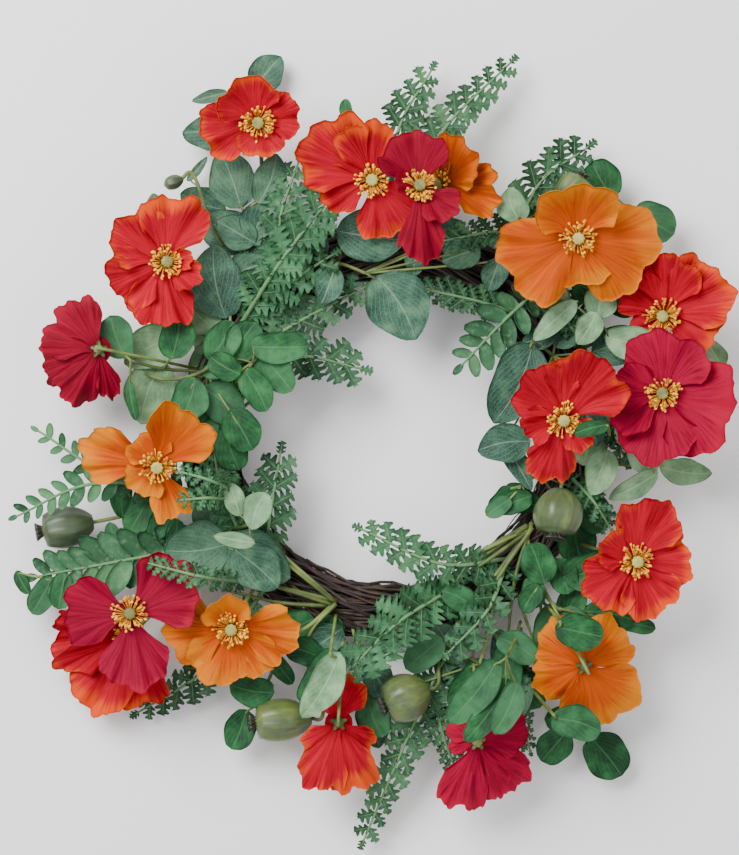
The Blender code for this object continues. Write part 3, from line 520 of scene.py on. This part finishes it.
def add_turned(piece, base, axis, profile, sides, tone=0.0, ribs=0, rib_depth=0.0):
    """A body turned about an axis, from (along, radius) pairs, with ribs down its sides."""
    axis = unit(np.array(axis, float))
    side = unit(np.cross(axis, BESIDE_AXES))
    other = np.cross(axis, side)
    turns = 2 * pi * np.arange(sides) / sides
    ribbed = 1 + rib_depth * np.cos(ribs * turns)
    rings = [base + axis * along + np.outer(np.cos(turns) * ribbed * radius, side)
             + np.outer(np.sin(turns) * ribbed * radius, other) for along, radius in profile]
    # The shade number is 1 in the grooves between ribs, which the pod material paints darker as
    # shade.
    shade = np.tile(0.5 - 0.5 * np.cos(ribs * turns), len(profile)) if ribs else 0.0
    add_rings(piece, rings, turns, tone, shade)


def waves(v, *parts):
    """Sines of given (size, cycles across), each at a random place."""
    return sum(size * np.sin(pi * cycles * v + chance.uniform(0, 2 * pi))
               for size, cycles in parts)


def add_petal(piece, petal, heart, turned, layer, crinkle):
    """One silk petal: a broad fan with a rolling rim, soft wrinkles and a few sharp folds."""
    u = np.linspace(0, 1, PETAL_ROWS)[:, None] ** 0.85
    v = np.linspace(-1, 1, PETAL_COLUMNS)[None, :]
    length = petal.length
    rim = waves(v, *RIM_WAVES)
    edge = (1 - 0.12 * v ** 2 - 0.26 * np.abs(v) ** 5) * (1 + rim)
    narrow = 0.74 + 0.26 * u + 0.9 * np.exp(-(u / 0.17) ** 2)
    turn = radians(petal.toward) + v * radians(petal.spread) * PETAL_OVERLAP * narrow
    far = length * edge * (0.04 + 0.96 * u)
    steep = radians(petal.rise) * (0.60 + 0.40 * u)
    wander = v + 0.04 * np.sin(4 * u + chance.uniform(0, 6))
    wrinkle = waves(wander, *WRINKLE_WAVES)
    for _ in range(SHARP_FOLDS):
        where, width = chance.uniform(-0.9, 0.9), chance.uniform(0.05, 0.10)
        wrinkle = wrinkle - chance.uniform(0.5, 1.1) * np.exp(-((wander - where) / width) ** 2)
    wrinkle = wrinkle * crinkle * (0.15 + 0.85 * u) * length / 50
    roll = (u ** 2.2 * length * waves(v, *ROLL_WAVES)
            + length * chance.uniform(-0.02, 0.12) * np.abs(v) ** 4 * u
            - length * chance.uniform(-0.02, 0.08) * u ** 6)
    bowl = length * 0.07 * np.sin(pi * u) * np.sign(petal.rise + 0.1)
    height = far * np.sin(steep) + wrinkle + roll - bowl * 0.5 - PETAL_LAYER * layer * (0.4 + u)
    local = np.stack(np.broadcast_arrays(far * np.cos(steep) * np.cos(turn),
                                         far * np.cos(steep) * np.sin(turn), height), axis=-1)
    grid = heart + local @ turned.T
    grid[..., 2] = np.maximum(grid[..., 2], LOWEST_POINT + 0.5 * u)
    # The shade number is how deep a point lies in a fold, and the petal material paints it as
    # shade.
    add_sheet(piece, grid, PETAL_THICKNESS, along=u, across=v * petal.spread / PETAL_PATTERN,
              tone=chance.uniform(0, 1), shade=np.clip(0.35 - wrinkle / 2.0, 0, 1))


def build_poppy(flower):
    """A poppy's petals round a small cup, its heart and its stem."""
    heart = place(flower.x, flower.y, flower.z)
    turned = facing(flower.lean, flower.toward)
    axis = turned @ np.array((0.0, 0.0, 1.0))
    petals = Piece()
    for k, petal in enumerate(flower.petals):
        add_petal(petals, petal, heart, turned, k % 3, CRINKLE.get(flower.colour, 1.0))
    turns = np.linspace(0, 2 * pi, 17)
    cup = np.array([[(r * cos(turn), r * sin(turn), -0.8 - 0.34 * r if flower.back else high)
                     for turn in turns] for r, high in HEART_CUP])
    # The cup's shade number gives it a touch of the painted fold shade.
    add_sheet(petals, heart + cup @ turned.T, PETAL_THICKNESS, along=0.12, across=turns, tone=0.5,
              shade=0.6)
    look = LOOKS["petal_dark" if flower.name in DARK_POPPIES else flower.colour]
    petals.build(flower.name + "_petals", look, flower.colour, flower.name)
    build_heart(flower, heart, turned, axis)
    build_flower_stem(flower, heart, axis)


def build_heart(flower, heart, turned, axis):
    """The ribbed seed head and its ring of stamens."""
    face = -axis if flower.back else axis
    head = Piece()
    add_turned(head, heart, face, HEAD_PROFILE, 36, chance.uniform(), *HEAD_RIBS)
    head.build(flower.name + "_head", LOOKS["seed_head"], "pod", flower.name)
    stamens = Piece()
    for k in range(STAMENS):
        turn = 360 * (k + chance.uniform(-0.4, 0.4)) * GOLDEN_SHARE
        rise = chance.uniform(66, 88) if flower.back else chance.uniform(20, 66)
        length = chance.uniform(5.0, 8.0) if flower.back else chance.uniform(5.5, 10.5)
        out = turned @ direction(turn) * (-1 if flower.back else 1)
        start = heart + out * (1.5 if flower.back else 3.5) + face * 1.0
        middle = start + (out * cos(radians(rise)) + face * sin(radians(rise))) * length * 0.55
        bent = radians(rise - 16)
        tip = middle + unit(out * cos(bent) + face * sin(bent)) * length * 0.45
        add_tube(stamens, through((start, middle, tip), 2), FILAMENT, 4, chance.uniform())
        add_turned(stamens, tip, tip - middle + chance.normal(0, 2.0, 3), ANTHER_PROFILE, 6,
                   chance.uniform())
    stamens.build(flower.name + "_stamens", LOOKS["stamen"], flower.colour, flower.name)


def build_flower_stem(flower, heart, axis):
    """The stem from the ring to the flower, with the calyx behind the petals."""
    foot = place(*flower.foot, RING_THICK_RADIUS)
    behind = axis if flower.back else -axis
    knee = heart + behind * STEM_KNEE
    if flower.back:
        middle = (knee + foot) / 2 + (0, 0, 4)
    else:
        knee[2] = max(knee[2], RING_THICK_RADIUS * 1.2)
        middle = np.array(((knee[0] + foot[0]) / 2, (knee[1] + foot[1]) / 2,
                           max(knee[2] * 0.55 + foot[2] * 0.45, LOWEST_DRESSING + 10)))
    stem = Piece()
    add_tube(stem, through((heart + behind * 0.3, knee, middle, foot), 8),
             BACK_FLOWER_STEM if flower.back else FLOWER_STEM, 8, chance.uniform())
    add_turned(stem, heart + behind * 5.0, -behind, CALYX_PROFILE, 10, chance.uniform())
    turned = facing(flower.lean, flower.toward)
    for k in range(SEPALS):
        along = unit(turned @ direction(360 / SEPALS * k + 20) - behind * 0.25)
        up = unit(behind - along * along.dot(behind))
        add_lobe(stem, heart + behind * 2.4 + along * 2, along, up, SEPAL_LENGTH, SEPAL_WIDTH,
                 tone=0.1, shade=0.5)
    stem.build(flower.name + "_stem", LOOKS["stem"], "fern", flower.name)


def build_pod(pod):
    """A ribbed pod on its stem, with a crown unless it is a small bud."""
    centre = place(pod.x, pod.y, pod.z)
    axis = direction(pod.toward, 12)
    start = centre - axis * pod.length / 2
    crowned = pod.length > SHORTEST_CROWNED
    profile = [(pod.length * t,
                pod.width / 2 * max(sin(pi * (0.06 + 0.80 * t) ** 0.9), 0.02) ** 0.75)
               for t in np.linspace(0.0, 0.84, 22)]
    body = Piece()
    neck = pod.width * 0.13
    if crowned:
        profile += [(pod.length * 0.88, neck), (pod.length * 0.90, neck)]
    else:
        profile += [(pod.length * 0.93, pod.width * 0.22), (pod.length, pod.width * 0.04)]
    ripe = 0.0 if pod.name in DARK_PODS else chance.uniform(0.5, 1.0)
    add_turned(body, start, axis, profile, POD_SIDES, ripe, *POD_RIBS)
    if crowned:
        crown = [(pod.length * a, pod.width * r) for a, r in CROWN_PROFILE]
        add_turned(body, start, axis, crown, POD_SIDES, CROWN_TONE, *CROWN_RIBS)
    body.build(pod.name + "_body", LOOKS["pod"], "pod", pod.name)
    foot = place(*pod.stem_to, RING_THICK_RADIUS)
    path = through((start + axis * 2, start - axis * 9, (start + foot) / 2 + (0, 0, 4), foot), 8)
    stem = Piece()
    add_tube(stem, path, POD_STEM, 8, chance.uniform())
    stem.build(pod.name + "_stem", LOOKS["stem"], "fern", pod.name)


def laid(base, along, across, up, forward, sideways, lift):
    """A grid of points from distances along a blade, across it and up from it."""
    return base + along * forward[..., None] + across * sideways[..., None] + up * lift[..., None]


def leaf_width(t, rounded):
    """A blade's width as a share of its widest, at t from its foot to its tip."""
    if rounded:
        return np.sqrt(np.clip(1 - (2 * t - 1) ** 2, 0, 1)) ** 0.9
    return np.sin(pi * np.clip(t, 0, 1) ** 0.86) ** 0.60


def add_leaf(piece, stems, leaf, height, spine, kind):
    """A leaf blade with a folded midrib, raised veins and a wavy edge, and its stalk."""
    along = direction(leaf.toward, LEAF_RISE)
    across = unit(np.cross((0, 0, 1), along))
    up = np.cross(along, across)
    base = place(leaf.x, leaf.y, height) - along * leaf.length / 2
    t = np.linspace(0.0, 1.0, LEAF_ROWS)[:, None]
    s = np.linspace(-1.0, 1.0, LEAF_COLUMNS)[None, :]
    half = leaf.width / 2 * np.maximum(leaf_width(t, kind == "leaf_round"), 0.015)
    edge_wave = 1 + 0.05 * np.sin(9 * t + chance.uniform(0, 6)) * np.sign(s)
    bend = leaf.length * chance.uniform(0.02, 0.14)
    veins = np.abs(np.sin(pi * (5.0 * t - 1.6 * np.abs(s))))
    lift = (0.20 * half * np.abs(s) ** 1.3 - bend * t ** 2 + bend * 0.4
            + 0.5 * (veins - 0.5) * np.abs(s) * (1 - np.abs(s) ** 6)
            + leaf.width * 0.035 * np.sin(7 * t + chance.uniform(0, 6) + 2 * s) * np.abs(s) ** 2)
    sway = leaf.width * chance.uniform(-0.12, 0.12) * np.sin(pi * t)
    grid = laid(base, along, across, up, leaf.length * t, half * s * edge_wave + sway, lift)
    grid[..., 2] = np.maximum(grid[..., 2], LOWEST_POINT + 0.3 * t)
    add_sheet(piece, grid, LEAF_THICKNESS, along=t * leaf.length / LEAF_PATTERN,
              across=s * leaf.width / LEAF_PATTERN, tone=chance.uniform(),
              shade=np.clip(1.2 * np.abs(s) ** 0.5, 0, 1))
    nearest = min(spine[1:], key=lambda p: np.linalg.norm(p - base))
    joint = base + along * leaf.length * 0.10 + up * (bend * 0.4 - 0.6)
    middle = (nearest + joint) / 2 + (0, 0, 1.5)
    add_tube(stems, through((nearest, middle, joint, joint + along * leaf.length * 0.35
                             - up * (bend * 0.15)), 4),
             np.linspace(1.1, 0.5, 13), 6, chance.uniform())


def build_spray(spray, owner=None):
    """A spray's stem, its leaves and, a little lower, its smaller leaves."""
    stations = len(spray.stem)
    spine = [place(x, y, spray.z * (k / (stations - 1)) + RING_THICK_RADIUS * 1.3
                   * (1 - k / (stations - 1))) for k, (x, y) in enumerate(spray.stem)]
    blades, stems = Piece(), Piece()
    add_tube(stems, through(spine, 8), SPRAY_STEM, 8, chance.uniform())
    for k, leaf in enumerate(spray.leaves):
        add_leaf(blades, stems, leaf, spray.z + LEAF_STEP * (k % 3), spine, spray.kind)
    for k, leaf in enumerate(spray.small_leaves):
        add_leaf(blades, stems, leaf, spray.z - LEAF_STEP * (1 + k % 4), spine, spray.kind)
    if blades.count:
        blades.build(spray.name + "_leaves", LOOKS[spray.kind], spray.kind, owner or spray.name)
    stems.build(spray.name + "_stems", LOOKS["stem"], "fern", owner or spray.name)


def build_bundle(name, owners, binding, ends):
    """Bare stems that fan out over the ring from where they are bound to it."""
    stems = Piece()
    start = np.array((*binding, RING_AXIS_HEIGHT + RING_THICK_RADIUS - 3))
    for end in ends:
        far = place(*end, BUNDLE_END_HEIGHT + chance.uniform(-3, 3))
        middle = (start * 0.5 + far * 0.5) + (*chance.normal(0, 3, 2), chance.uniform(7, 13))
        first = start + (*chance.normal(0, 2, 2), chance.uniform(-1, 3))
        add_tube(stems, through((first, middle, far), 8), np.linspace(1.9, 1.0, 17), 6,
                 chance.uniform())
    stems.build(name, LOOKS["stem"], "fern", *owners)


def add_lobe(piece, base, along, up, length, width, tone, shade):
    """A small oval blade, for oval leaflets and calyxes."""
    across = np.cross(up, along)
    t = np.linspace(0, 1, 7)[:, None]
    s = np.linspace(-1, 1, 5)[None, :]
    wide = width / 2 * np.maximum(np.sin(pi * (0.06 + 0.90 * t)) ** 0.6, 0.1)
    lift = (chance.uniform(-0.10, 0.30) * length * t ** 2
            + chance.uniform(0.05, 0.35) * wide * np.abs(s))
    grid = laid(base, along, across, up, length * t, wide * s, lift)
    add_sheet(piece, grid, FROND_THICKNESS, along=t, across=s, tone=tone, shade=shade)


def add_leaflet(piece, base, along, up, length, style, shade):
    """One leaflet of a frond: an oval blade, or a rib with lobes down both sides."""
    tone = chance.uniform()
    across = np.cross(up, along)
    if style == "oval":
        add_lobe(piece, base, along, up, length, length * 0.54, tone, shade)
        return
    half_share, cut, gap = LOBED_LEAFLETS[style]
    lobes = max(3, round(length / gap))
    t = np.linspace(0, 1, 7 * lobes)[:, None]
    s = np.linspace(-1, 1, 5)[None, :]
    starts = chance.uniform(-0.15, 0.15, 2)
    phase = lobes * t - 0.1 + np.where(s < 0, *starts)
    tooth = np.clip(0.52 + 0.9 * np.sin(2 * pi * phase), 0, 1) ** 0.5
    half = (length * half_share * np.sin(pi * (0.08 + 0.84 * t ** 0.75)) ** 0.65
            * (1 - cut + cut * tooth) * (1 + 0.12 * waves(t, (1.0, 2.0 * lobes / 3))))
    curve = chance.uniform(-0.10, 0.20) * length
    fold, curl = chance.uniform(0.0, 0.35), chance.uniform(0.2, 0.9)
    lift = (curve * t ** 2 + fold * half * np.abs(s) + curl * tooth * s ** 2
            + 0.5 * waves(t, (1.0, 1.3 * lobes)) * np.abs(s))
    forward = length * 0.88 * t + 0.24 * half * s ** 2
    grid = laid(base, along, across, up, forward, half * s, lift)
    add_sheet(piece, grid, FROND_THICKNESS, along=t, across=s,
              tone=tone + 0.25 * (tooth - 1) * np.abs(s), shade=shade)
    add_tube(piece, grid[::lobes, 2] + up * 0.3, np.linspace(0.7, 0.3, 7), 4, VEIN_TONE)


def build_frond(frond, owner=None):
    """A frond: leaflets in pairs along each of its ribs, and one at the rib's tip."""
    # Higher fronds get painted light and lower ones painted shade, carried in the shade number.
    bright = (frond.z - SHADED_FROND_HEIGHT) / FROND_LIGHT_RANGE
    blades = Piece()
    for (x0, y0), (x1, y1), (x2, y2) in frond.spines:
        ends = [place(x0, y0, RING_THICK_RADIUS * 1.4), place(x1, y1, frond.z),
                place(x2, y2, frond.z * 0.9)]
        curve = through(ends, 24)
        add_tube(blades, curve + (0, 0, 1.0), np.linspace(1.9, 0.8, len(curve)), 6, RIB_TONE)
        steps = np.linalg.norm(np.diff(curve, axis=0), axis=1)
        run = np.concatenate(((0.0,), np.cumsum(steps)))
        pairs = int(run[-1] * 0.90 / LEAFLET_SPACING[frond.style])

        def spot_at(share):
            return np.array([np.interp(share * run[-1], run, curve[:, axis]) for axis in range(3)])

        for k in range(pairs + 1):
            share = 0.10 + 0.90 * k / pairs
            spot = spot_at(share)
            along = unit(spot_at(min(share + 0.04, 1.0)) - spot_at(share - 0.04))
            across = unit(np.cross((0, 0, 1), along))
            up = np.cross(along, across)
            reach = frond.width / 2 * sin(pi * (0.18 + 0.70 * share)) ** 0.7 * 1.15
            if k == pairs:
                add_leaflet(blades, spot - along * 2, along, up, reach * 0.9, frond.style, bright)
                continue
            for hand in (1, -1):
                lean = unit(along * chance.uniform(0.65, 0.95) + across * hand
                            + up * chance.uniform(-0.10, 0.30))
                add_leaflet(blades, spot, lean, up, reach * chance.uniform(0.85, 1.12),
                            frond.style, bright)
    for points in blades.points:
        points[:, 2] = np.maximum(points[:, 2], LOWEST_POINT)
    blades.build(frond.name + "_blades", LOOKS["fern"], "fern", owner or frond.name)


def build_ring():
    """The bundle of thin vines, each wound along part of the ring."""
    twigs = Piece()
    for k in range(TWIGS):
        start = chance.uniform(0, 2 * pi)
        arc = chance.uniform(*TWIG_ARCS)
        depth = RING_THICK_RADIUS * chance.uniform(0.25, 0.97) ** 0.5 - 2.2
        twist = chance.uniform(-1.6, 1.6)
        first = chance.uniform(0, 2 * pi)
        thick = chance.uniform(*TWIG_RADII)
        count = int(arc * 12) + 4
        path = []
        phases = chance.uniform(0, 6, 4)
        for step in range(count):
            turn = start + arc * step / (count - 1)
            wrap = first + twist * (turn - start) + 0.25 * sin(6 * turn + phases[0])
            deep = depth * (1 + 0.08 * sin(9 * turn + phases[1])) + sin(23 * turn + phases[2])
            high = max(RING_AXIS_HEIGHT + deep * sin(wrap), thick + 0.3)
            out = RING_RADIUS + deep * cos(wrap)
            path.append((out * cos(turn), out * sin(turn), high))
        taper = thick * (1 - 0.5 * np.linspace(-1, 1, count) ** 8)
        add_tube(twigs, path, taper, 6, chance.uniform())
    twigs.build("twig_bundle", LOOKS["twig"], "twig", "twig_ring")


def linear(code):
    """A #rrggbb colour as the linear numbers that shaders take."""
    parts = [int(code[k:k + 2], 16) / 255 for k in (1, 3, 5)]
    return (*[(p / 12.92 if p <= 0.04045 else ((p + 0.055) / 1.055) ** 2.4) for p in parts], 1.0)


class Look:
    """A procedural material put together from a few nodes."""

    def __init__(self, name, roughness, **sockets):
        self.made = bpy.data.materials.new(name)
        self.made.use_nodes = True
        self.nodes, self.links = self.made.node_tree.nodes, self.made.node_tree.links
        self.shader = self.nodes["Principled BSDF"]
        self.shader.inputs["Roughness"].default_value = roughness
        for socket, value in sockets.items():
            self.shader.inputs[socket.replace("_", " ")].default_value = value

    def number(self, name):
        """One of the piece's own numbers: along, across, tone or shade."""
        node = self.nodes.new("ShaderNodeAttribute")
        node.attribute_name = name
        return node.outputs["Fac"]

    def join(self, x, y, z):
        node = self.nodes.new("ShaderNodeCombineXYZ")
        for socket, value in zip(node.inputs, (x, y, z)):
            self.put(socket, value)
        return node.outputs["Vector"]

    def put(self, socket, value):
        if isinstance(value, bpy.types.NodeSocket):
            self.links.new(value, socket)
        else:
            socket.default_value = value

    def sums(self, operation, a, b=0.0):
        node = self.nodes.new("ShaderNodeMath")
        node.operation = operation
        self.put(node.inputs[0], a)
        self.put(node.inputs[1], b)
        return node.outputs[0]

    def times(self, a, b):
        return self.sums("MULTIPLY", a, b)

    def plus(self, a, b):
        return self.sums("ADD", a, b)

    def noise(self, scale, detail=3.0, vector=None, roughness=0.55):
        node = self.nodes.new("ShaderNodeTexNoise")
        node.inputs["Scale"].default_value = scale
        node.inputs["Detail"].default_value = detail
        node.inputs["Roughness"].default_value = roughness
        self.links.new(vector or self.coordinates(), node.inputs["Vector"])
        return node.outputs["Fac"]

    def streaks(self, along, across, tone, detail=4.0, roughness=0.55):
        """Noise drawn out along a sheet, another on each sheet where tone isn't 0."""
        scales = (("along", along), ("across", across), ("tone", tone))
        vector = self.join(*[self.times(self.number(name), scale) for name, scale in scales])
        return self.noise(1.0, detail, vector, roughness)

    def cell_edges(self, scale):
        node = self.nodes.new("ShaderNodeTexVoronoi")
        node.feature = "DISTANCE_TO_EDGE"
        node.inputs["Scale"].default_value = scale
        self.links.new(self.coordinates(), node.inputs["Vector"])
        return node.outputs["Distance"]

    def coordinates(self):
        node = self.nodes.new("ShaderNodeTexCoord")
        return node.outputs["Object"]

    def ramp(self, value, *stops):
        node = self.nodes.new("ShaderNodeValToRGB")
        self.put(node.inputs["Fac"], value)
        elements = node.color_ramp.elements
        while len(elements) < len(stops):
            elements.new(0.5)
        for element, (spot, code) in zip(elements, stops):
            element.position = spot
            element.color = linear(code)
        return node.outputs["Color"]

    def step(self, value, low, high):
        """A soft step from 0 at low to 1 at high."""
        node = self.nodes.new("ShaderNodeMapRange")
        node.interpolation_type = "SMOOTHSTEP"
        self.put(node.inputs["Value"], value)
        node.inputs["From Min"].default_value = low
        node.inputs["From Max"].default_value = high
        return node.outputs["Result"]

    def mix(self, share, a, b):
        """Two colours, by the colour sockets of the mix node, which share names with others."""
        node = self.nodes.new("ShaderNodeMix")
        node.data_type = "RGBA"
        self.put(node.inputs["Factor"], share)
        self.put(node.inputs[6], a)
        self.put(node.inputs[7], b)
        return node.outputs[2]

    def colour(self, value):
        self.put(self.shader.inputs["Base Color"], value)

    def bump(self, height, strength, distance):
        node = self.nodes.new("ShaderNodeBump")
        node.inputs["Strength"].default_value = strength
        node.inputs["Distance"].default_value = distance
        self.links.new(height, node.inputs["Height"])
        self.links.new(node.outputs["Normal"], self.shader.inputs["Normal"])


def petal_look(name, deep, main, light, edge, edge_from):
    """Silk with streaks that run outwards, painted shade in the folds and a lighter, warmer rim.
    """
    look = Look(name, 0.66, Specular_IOR_Level=0.12)
    along = look.number("along")
    streaks = look.streaks(2.2, 19.0, 37.0)
    patches = look.noise(26.0, 3.0)
    body = look.ramp(look.plus(look.times(streaks, 0.75), look.times(patches, 0.25)),
                     (0.28, deep), (0.48, main), (0.72, light))
    uneven = look.plus(look.times(streaks, 0.45), look.times(look.noise(13.0, 3.0), 1.4))
    rim = look.step(look.plus(along, look.sums("SUBTRACT", uneven, 0.925)), edge_from, 1.10)
    body = look.mix(look.times(rim, 0.85), body, linear(edge))
    # Painted shade: points deep in a fold, by the shade number, are darkened towards the deep
    # colour.
    painted_fold_shade = look.step(look.number("shade"), 0.55, 1.0)
    body = look.mix(look.times(painted_fold_shade, 0.35), body, linear(deep))
    heart = look.step(along, 0.30, 0.02)
    look.colour(look.mix(look.times(heart, 0.55), body, linear(deep)))
    fine = look.streaks(5.0, 70.0, 11.0, 5.0, 0.65)
    look.bump(look.plus(fine, look.times(look.noise(900.0, 2.0), 0.15)), 0.45, 0.0012)
    return look.made


def leaf_look(name, dark, main, light, vein, vein_share, network):
    """Blotched leaves with lighter midribs and side veins, and a fine net of veins if asked."""
    look = Look(name, 0.6, Specular_IOR_Level=0.2)
    along, across, tone = look.number("along"), look.number("across"), look.number("tone")
    blotches = look.noise(70.0, 5.0, roughness=0.6)
    tint = look.plus(blotches, look.times(look.sums("SUBTRACT", tone, 0.5), 0.13))
    body = look.ramp(tint, (0.34, dark), (0.50, main), (0.66, light))
    dusty = look.step(tone, 0.45, 0.95)
    body = look.mix(look.times(dusty, 0.35), body, linear("#44684E"))
    from_midrib = look.sums("ABSOLUTE", across)
    slant = look.sums("SUBTRACT", look.times(along, 5.0), look.times(from_midrib, 5.5))
    ribs = look.step(look.sums("ABSOLUTE", look.sums("SINE", look.times(slant, pi))), 0.16, 0.04)
    lines = look.sums("MAXIMUM", ribs, look.step(from_midrib, 0.045, 0.015))
    if network:
        net = look.step(look.cell_edges(430.0), 0.12, 0.02)
        lines = look.sums("MAXIMUM", lines, look.times(net, network))
    look.colour(look.mix(look.times(lines, vein_share), body, linear(vein)))
    look.bump(look.sums("SUBTRACT", blotches, look.times(lines, 0.6)), 0.35, 0.0008)
    return look.made


def plain_look(name, dark, main, light, roughness, scale, bump=0.3):
    """Three shades in patches, which differ from one part of the piece to the next."""
    look = Look(name, roughness)
    uneven = look.times(look.sums("SUBTRACT", look.number("tone"), 0.5), 0.35)
    tint = look.plus(look.noise(scale, 4.0), uneven)
    look.colour(look.ramp(tint, (0.30, dark), (0.50, main), (0.70, light)))
    look.bump(look.noise(scale * 6, 3.0), bump, 0.0006)
    return look.made


def pod_look():
    """Olive pods with pale streaks along them, painted shade in the grooves between ribs and a
    dark crown.
    """
    look = Look("pod", 0.42, Coat_Weight=0.15, Coat_Roughness=0.35)
    patches = look.noise(45.0, 5.0)
    streaks = look.streaks(3.0, 34.0, 0.0)
    tint = look.plus(look.times(patches, 0.6), look.times(streaks, 0.3))
    tint = look.plus(tint, look.times(look.number("tone"), 0.16))
    body = look.ramp(tint, (0.34, "#2C3C2C"), (0.52, "#465834"), (0.74, "#76843A"))
    # Painted shade in the grooves between the ribs.
    body = look.mix(look.times(look.number("shade"), 0.25), body, linear("#36442C"))
    crown = look.step(look.number("tone"), 1.1, 1.3)
    look.colour(look.mix(crown, body, linear("#2A2A1E")))
    look.bump(streaks, 0.3, 0.0008)
    return look.made


def fern_look():
    """Greens with painted light on higher fronds and painted shade on lower, lighter ribs, under a
    light bloom.
    """
    look = Look("fern", 0.62, Specular_IOR_Level=0.2)
    tone = look.number("tone")
    patches = look.noise(30.0, 4.0)
    tint = look.plus(look.times(patches, 0.6), look.times(tone, 0.25))
    # Shaded and lit copies of the green, mixed by frond height as painted shade and painted light.
    dark = look.ramp(tint, (0.26, "#1A3622"), (0.44, "#305238"), (0.62, "#4C704C"))
    light = look.ramp(tint, (0.26, "#24482A"), (0.44, "#386A46"), (0.62, "#55895A"))
    body = look.mix(look.number("shade"), dark, light)
    body = look.mix(look.times(look.step(tone, 1.2, 1.5), 0.6), body, linear("#6C9664"))
    bloom = look.noise(240.0, 3.0)
    look.colour(look.mix(look.times(look.step(bloom, 0.48, 0.78), 0.25), body,
                         linear("#86B088")))
    look.bump(bloom, 0.3, 0.0006)
    return look.made


def stamen_look():
    """Yellow stamens, some of them more orange."""
    look = Look("stamen", 0.6)
    tint = look.plus(look.number("tone"), look.times(look.noise(400.0), 0.3))
    look.colour(look.ramp(tint, (0.2, "#B0600C"), (0.6, "#E69A0C"), (1.0, "#FCC62C")))
    return look.made


# Petals: deep, main, light and rim colours, and where the rim begins
PETAL_COLOURS = {
    "petal_red": ("#78000F", "#AA041E", "#BE1630", "#E2500A", 0.80),
    "petal_crimson": ("#560012", "#92002A", "#AC003A", "#A60630", 0.85),
    "petal_dark": ("#480010", "#7C001E", "#94002A", "#900826", 0.85),
    "petal_magenta": ("#540018", "#840026", "#980434", "#A0142C", 0.90),
    "petal_orange": ("#963000", "#B44600", "#C45600", "#D47C00", 0.60),
}
# Leaves: dark, main, light and vein colours, and how strong the veins and their net are
LEAF_COLOURS = {
    "leaf_mottled": ("#1E3E32", "#315845", "#507659", "#84A488", 0.45, 0.28),
    "leaf_round": ("#133A20", "#1F542C", "#346E40", "#528A56", 0.35, 0.0),
    "leaf_pale": ("#567854", "#70966C", "#90B288", "#A8C49C", 0.35, 0.0),
}
# The rest: dark, main and light colours, roughness, scale of the patches, and bump
PLAIN_COLOURS = {
    "seed_head": ("#686430", "#94904A", "#B8AE62", 0.6, 120.0),
    "stem": ("#3E4C22", "#5C6C32", "#7C8C48", 0.55, 60.0),
    "twig": ("#140D0B", "#291B16", "#4A382C", 0.75, 55.0, 0.6),
}
LOOKS = {"fern": fern_look(), "pod": pod_look(), "stamen": stamen_look()}
for make, table in ((petal_look, PETAL_COLOURS), (leaf_look, LEAF_COLOURS),
                    (plain_look, PLAIN_COLOURS)):
    LOOKS.update({name: make(name, *colours) for name, colours in table.items()})

build_ring()
for flower in POPPIES:
    build_poppy(flower)
for pod in PODS:
    build_pod(pod)
for spray in SPRAYS:
    build_spray(spray)
for frond in FRONDS:
    build_frond(frond)
for owner, spray in SIDE_SPRAYS:
    build_spray(spray, owner)
for owner, frond in SIDE_FRONDS:
    build_frond(frond, owner)
for k, (owners, binding, ends) in enumerate(STEM_BUNDLES):
    build_bundle(f"stem_bundle_{k + 1}", owners, binding, ends)

# A pale floor under the wreath, soft light from above and a camera looking straight down
FLOOR_SIZE, FLOOR_LEVEL = 6.0, -0.001
SKY_STRENGTH = 0.75
LIGHTS = [("key", (-0.9, 0.9, 1.7), 1.2, 72.0), ("fill", (1.1, -0.5, 1.6), 1.6, 10.0)]
CAMERA_HEIGHT = 2.06
FOCAL_LENGTH, SENSOR_WIDTH = 112.3, 36.0
# The middle of the picture, in millimetres from the ring's centre
PICTURE_CENTRE = (-16.9, 1.9)

bpy.ops.mesh.primitive_plane_add(size=FLOOR_SIZE, location=(0.0, 0.0, FLOOR_LEVEL))
floor = bpy.context.object
floor.name = "floor"
floor_look = Look("floor", 0.9)
floor_look.colour(floor_look.ramp(floor_look.noise(3.0), (0.3, "#F8F8F8"), (0.7, "#FBFBFB")))
floor.data.materials.append(floor_look.made)

world = bpy.data.worlds.new("studio")
world.use_nodes = True
sky = world.node_tree.nodes["Background"].inputs
sky["Color"].default_value = (1.0, 1.0, 1.0, 1.0)
sky["Strength"].default_value = SKY_STRENGTH
bpy.context.scene.world = world

for name, spot, size, power in LIGHTS:
    light = bpy.data.lights.new(name, "AREA")
    light.size, light.energy = size, power
    lamp = bpy.data.objects.new(name, light)
    bpy.context.scene.collection.objects.link(lamp)
    lamp.location = spot
    lamp.rotation_euler = (-Vector(spot)).to_track_quat("-Z", "Y").to_euler()

lens = bpy.data.cameras.new("camera")
lens.sensor_width = SENSOR_WIDTH
lens.lens = FOCAL_LENGTH
camera = bpy.data.objects.new("camera", lens)
bpy.context.scene.collection.objects.link(camera)
camera.location = ((RING_CENTRE[0] + PICTURE_CENTRE[0]) * MM,
                   (RING_CENTRE[1] + PICTURE_CENTRE[1]) * MM, CAMERA_HEIGHT)
bpy.context.scene.camera = camera
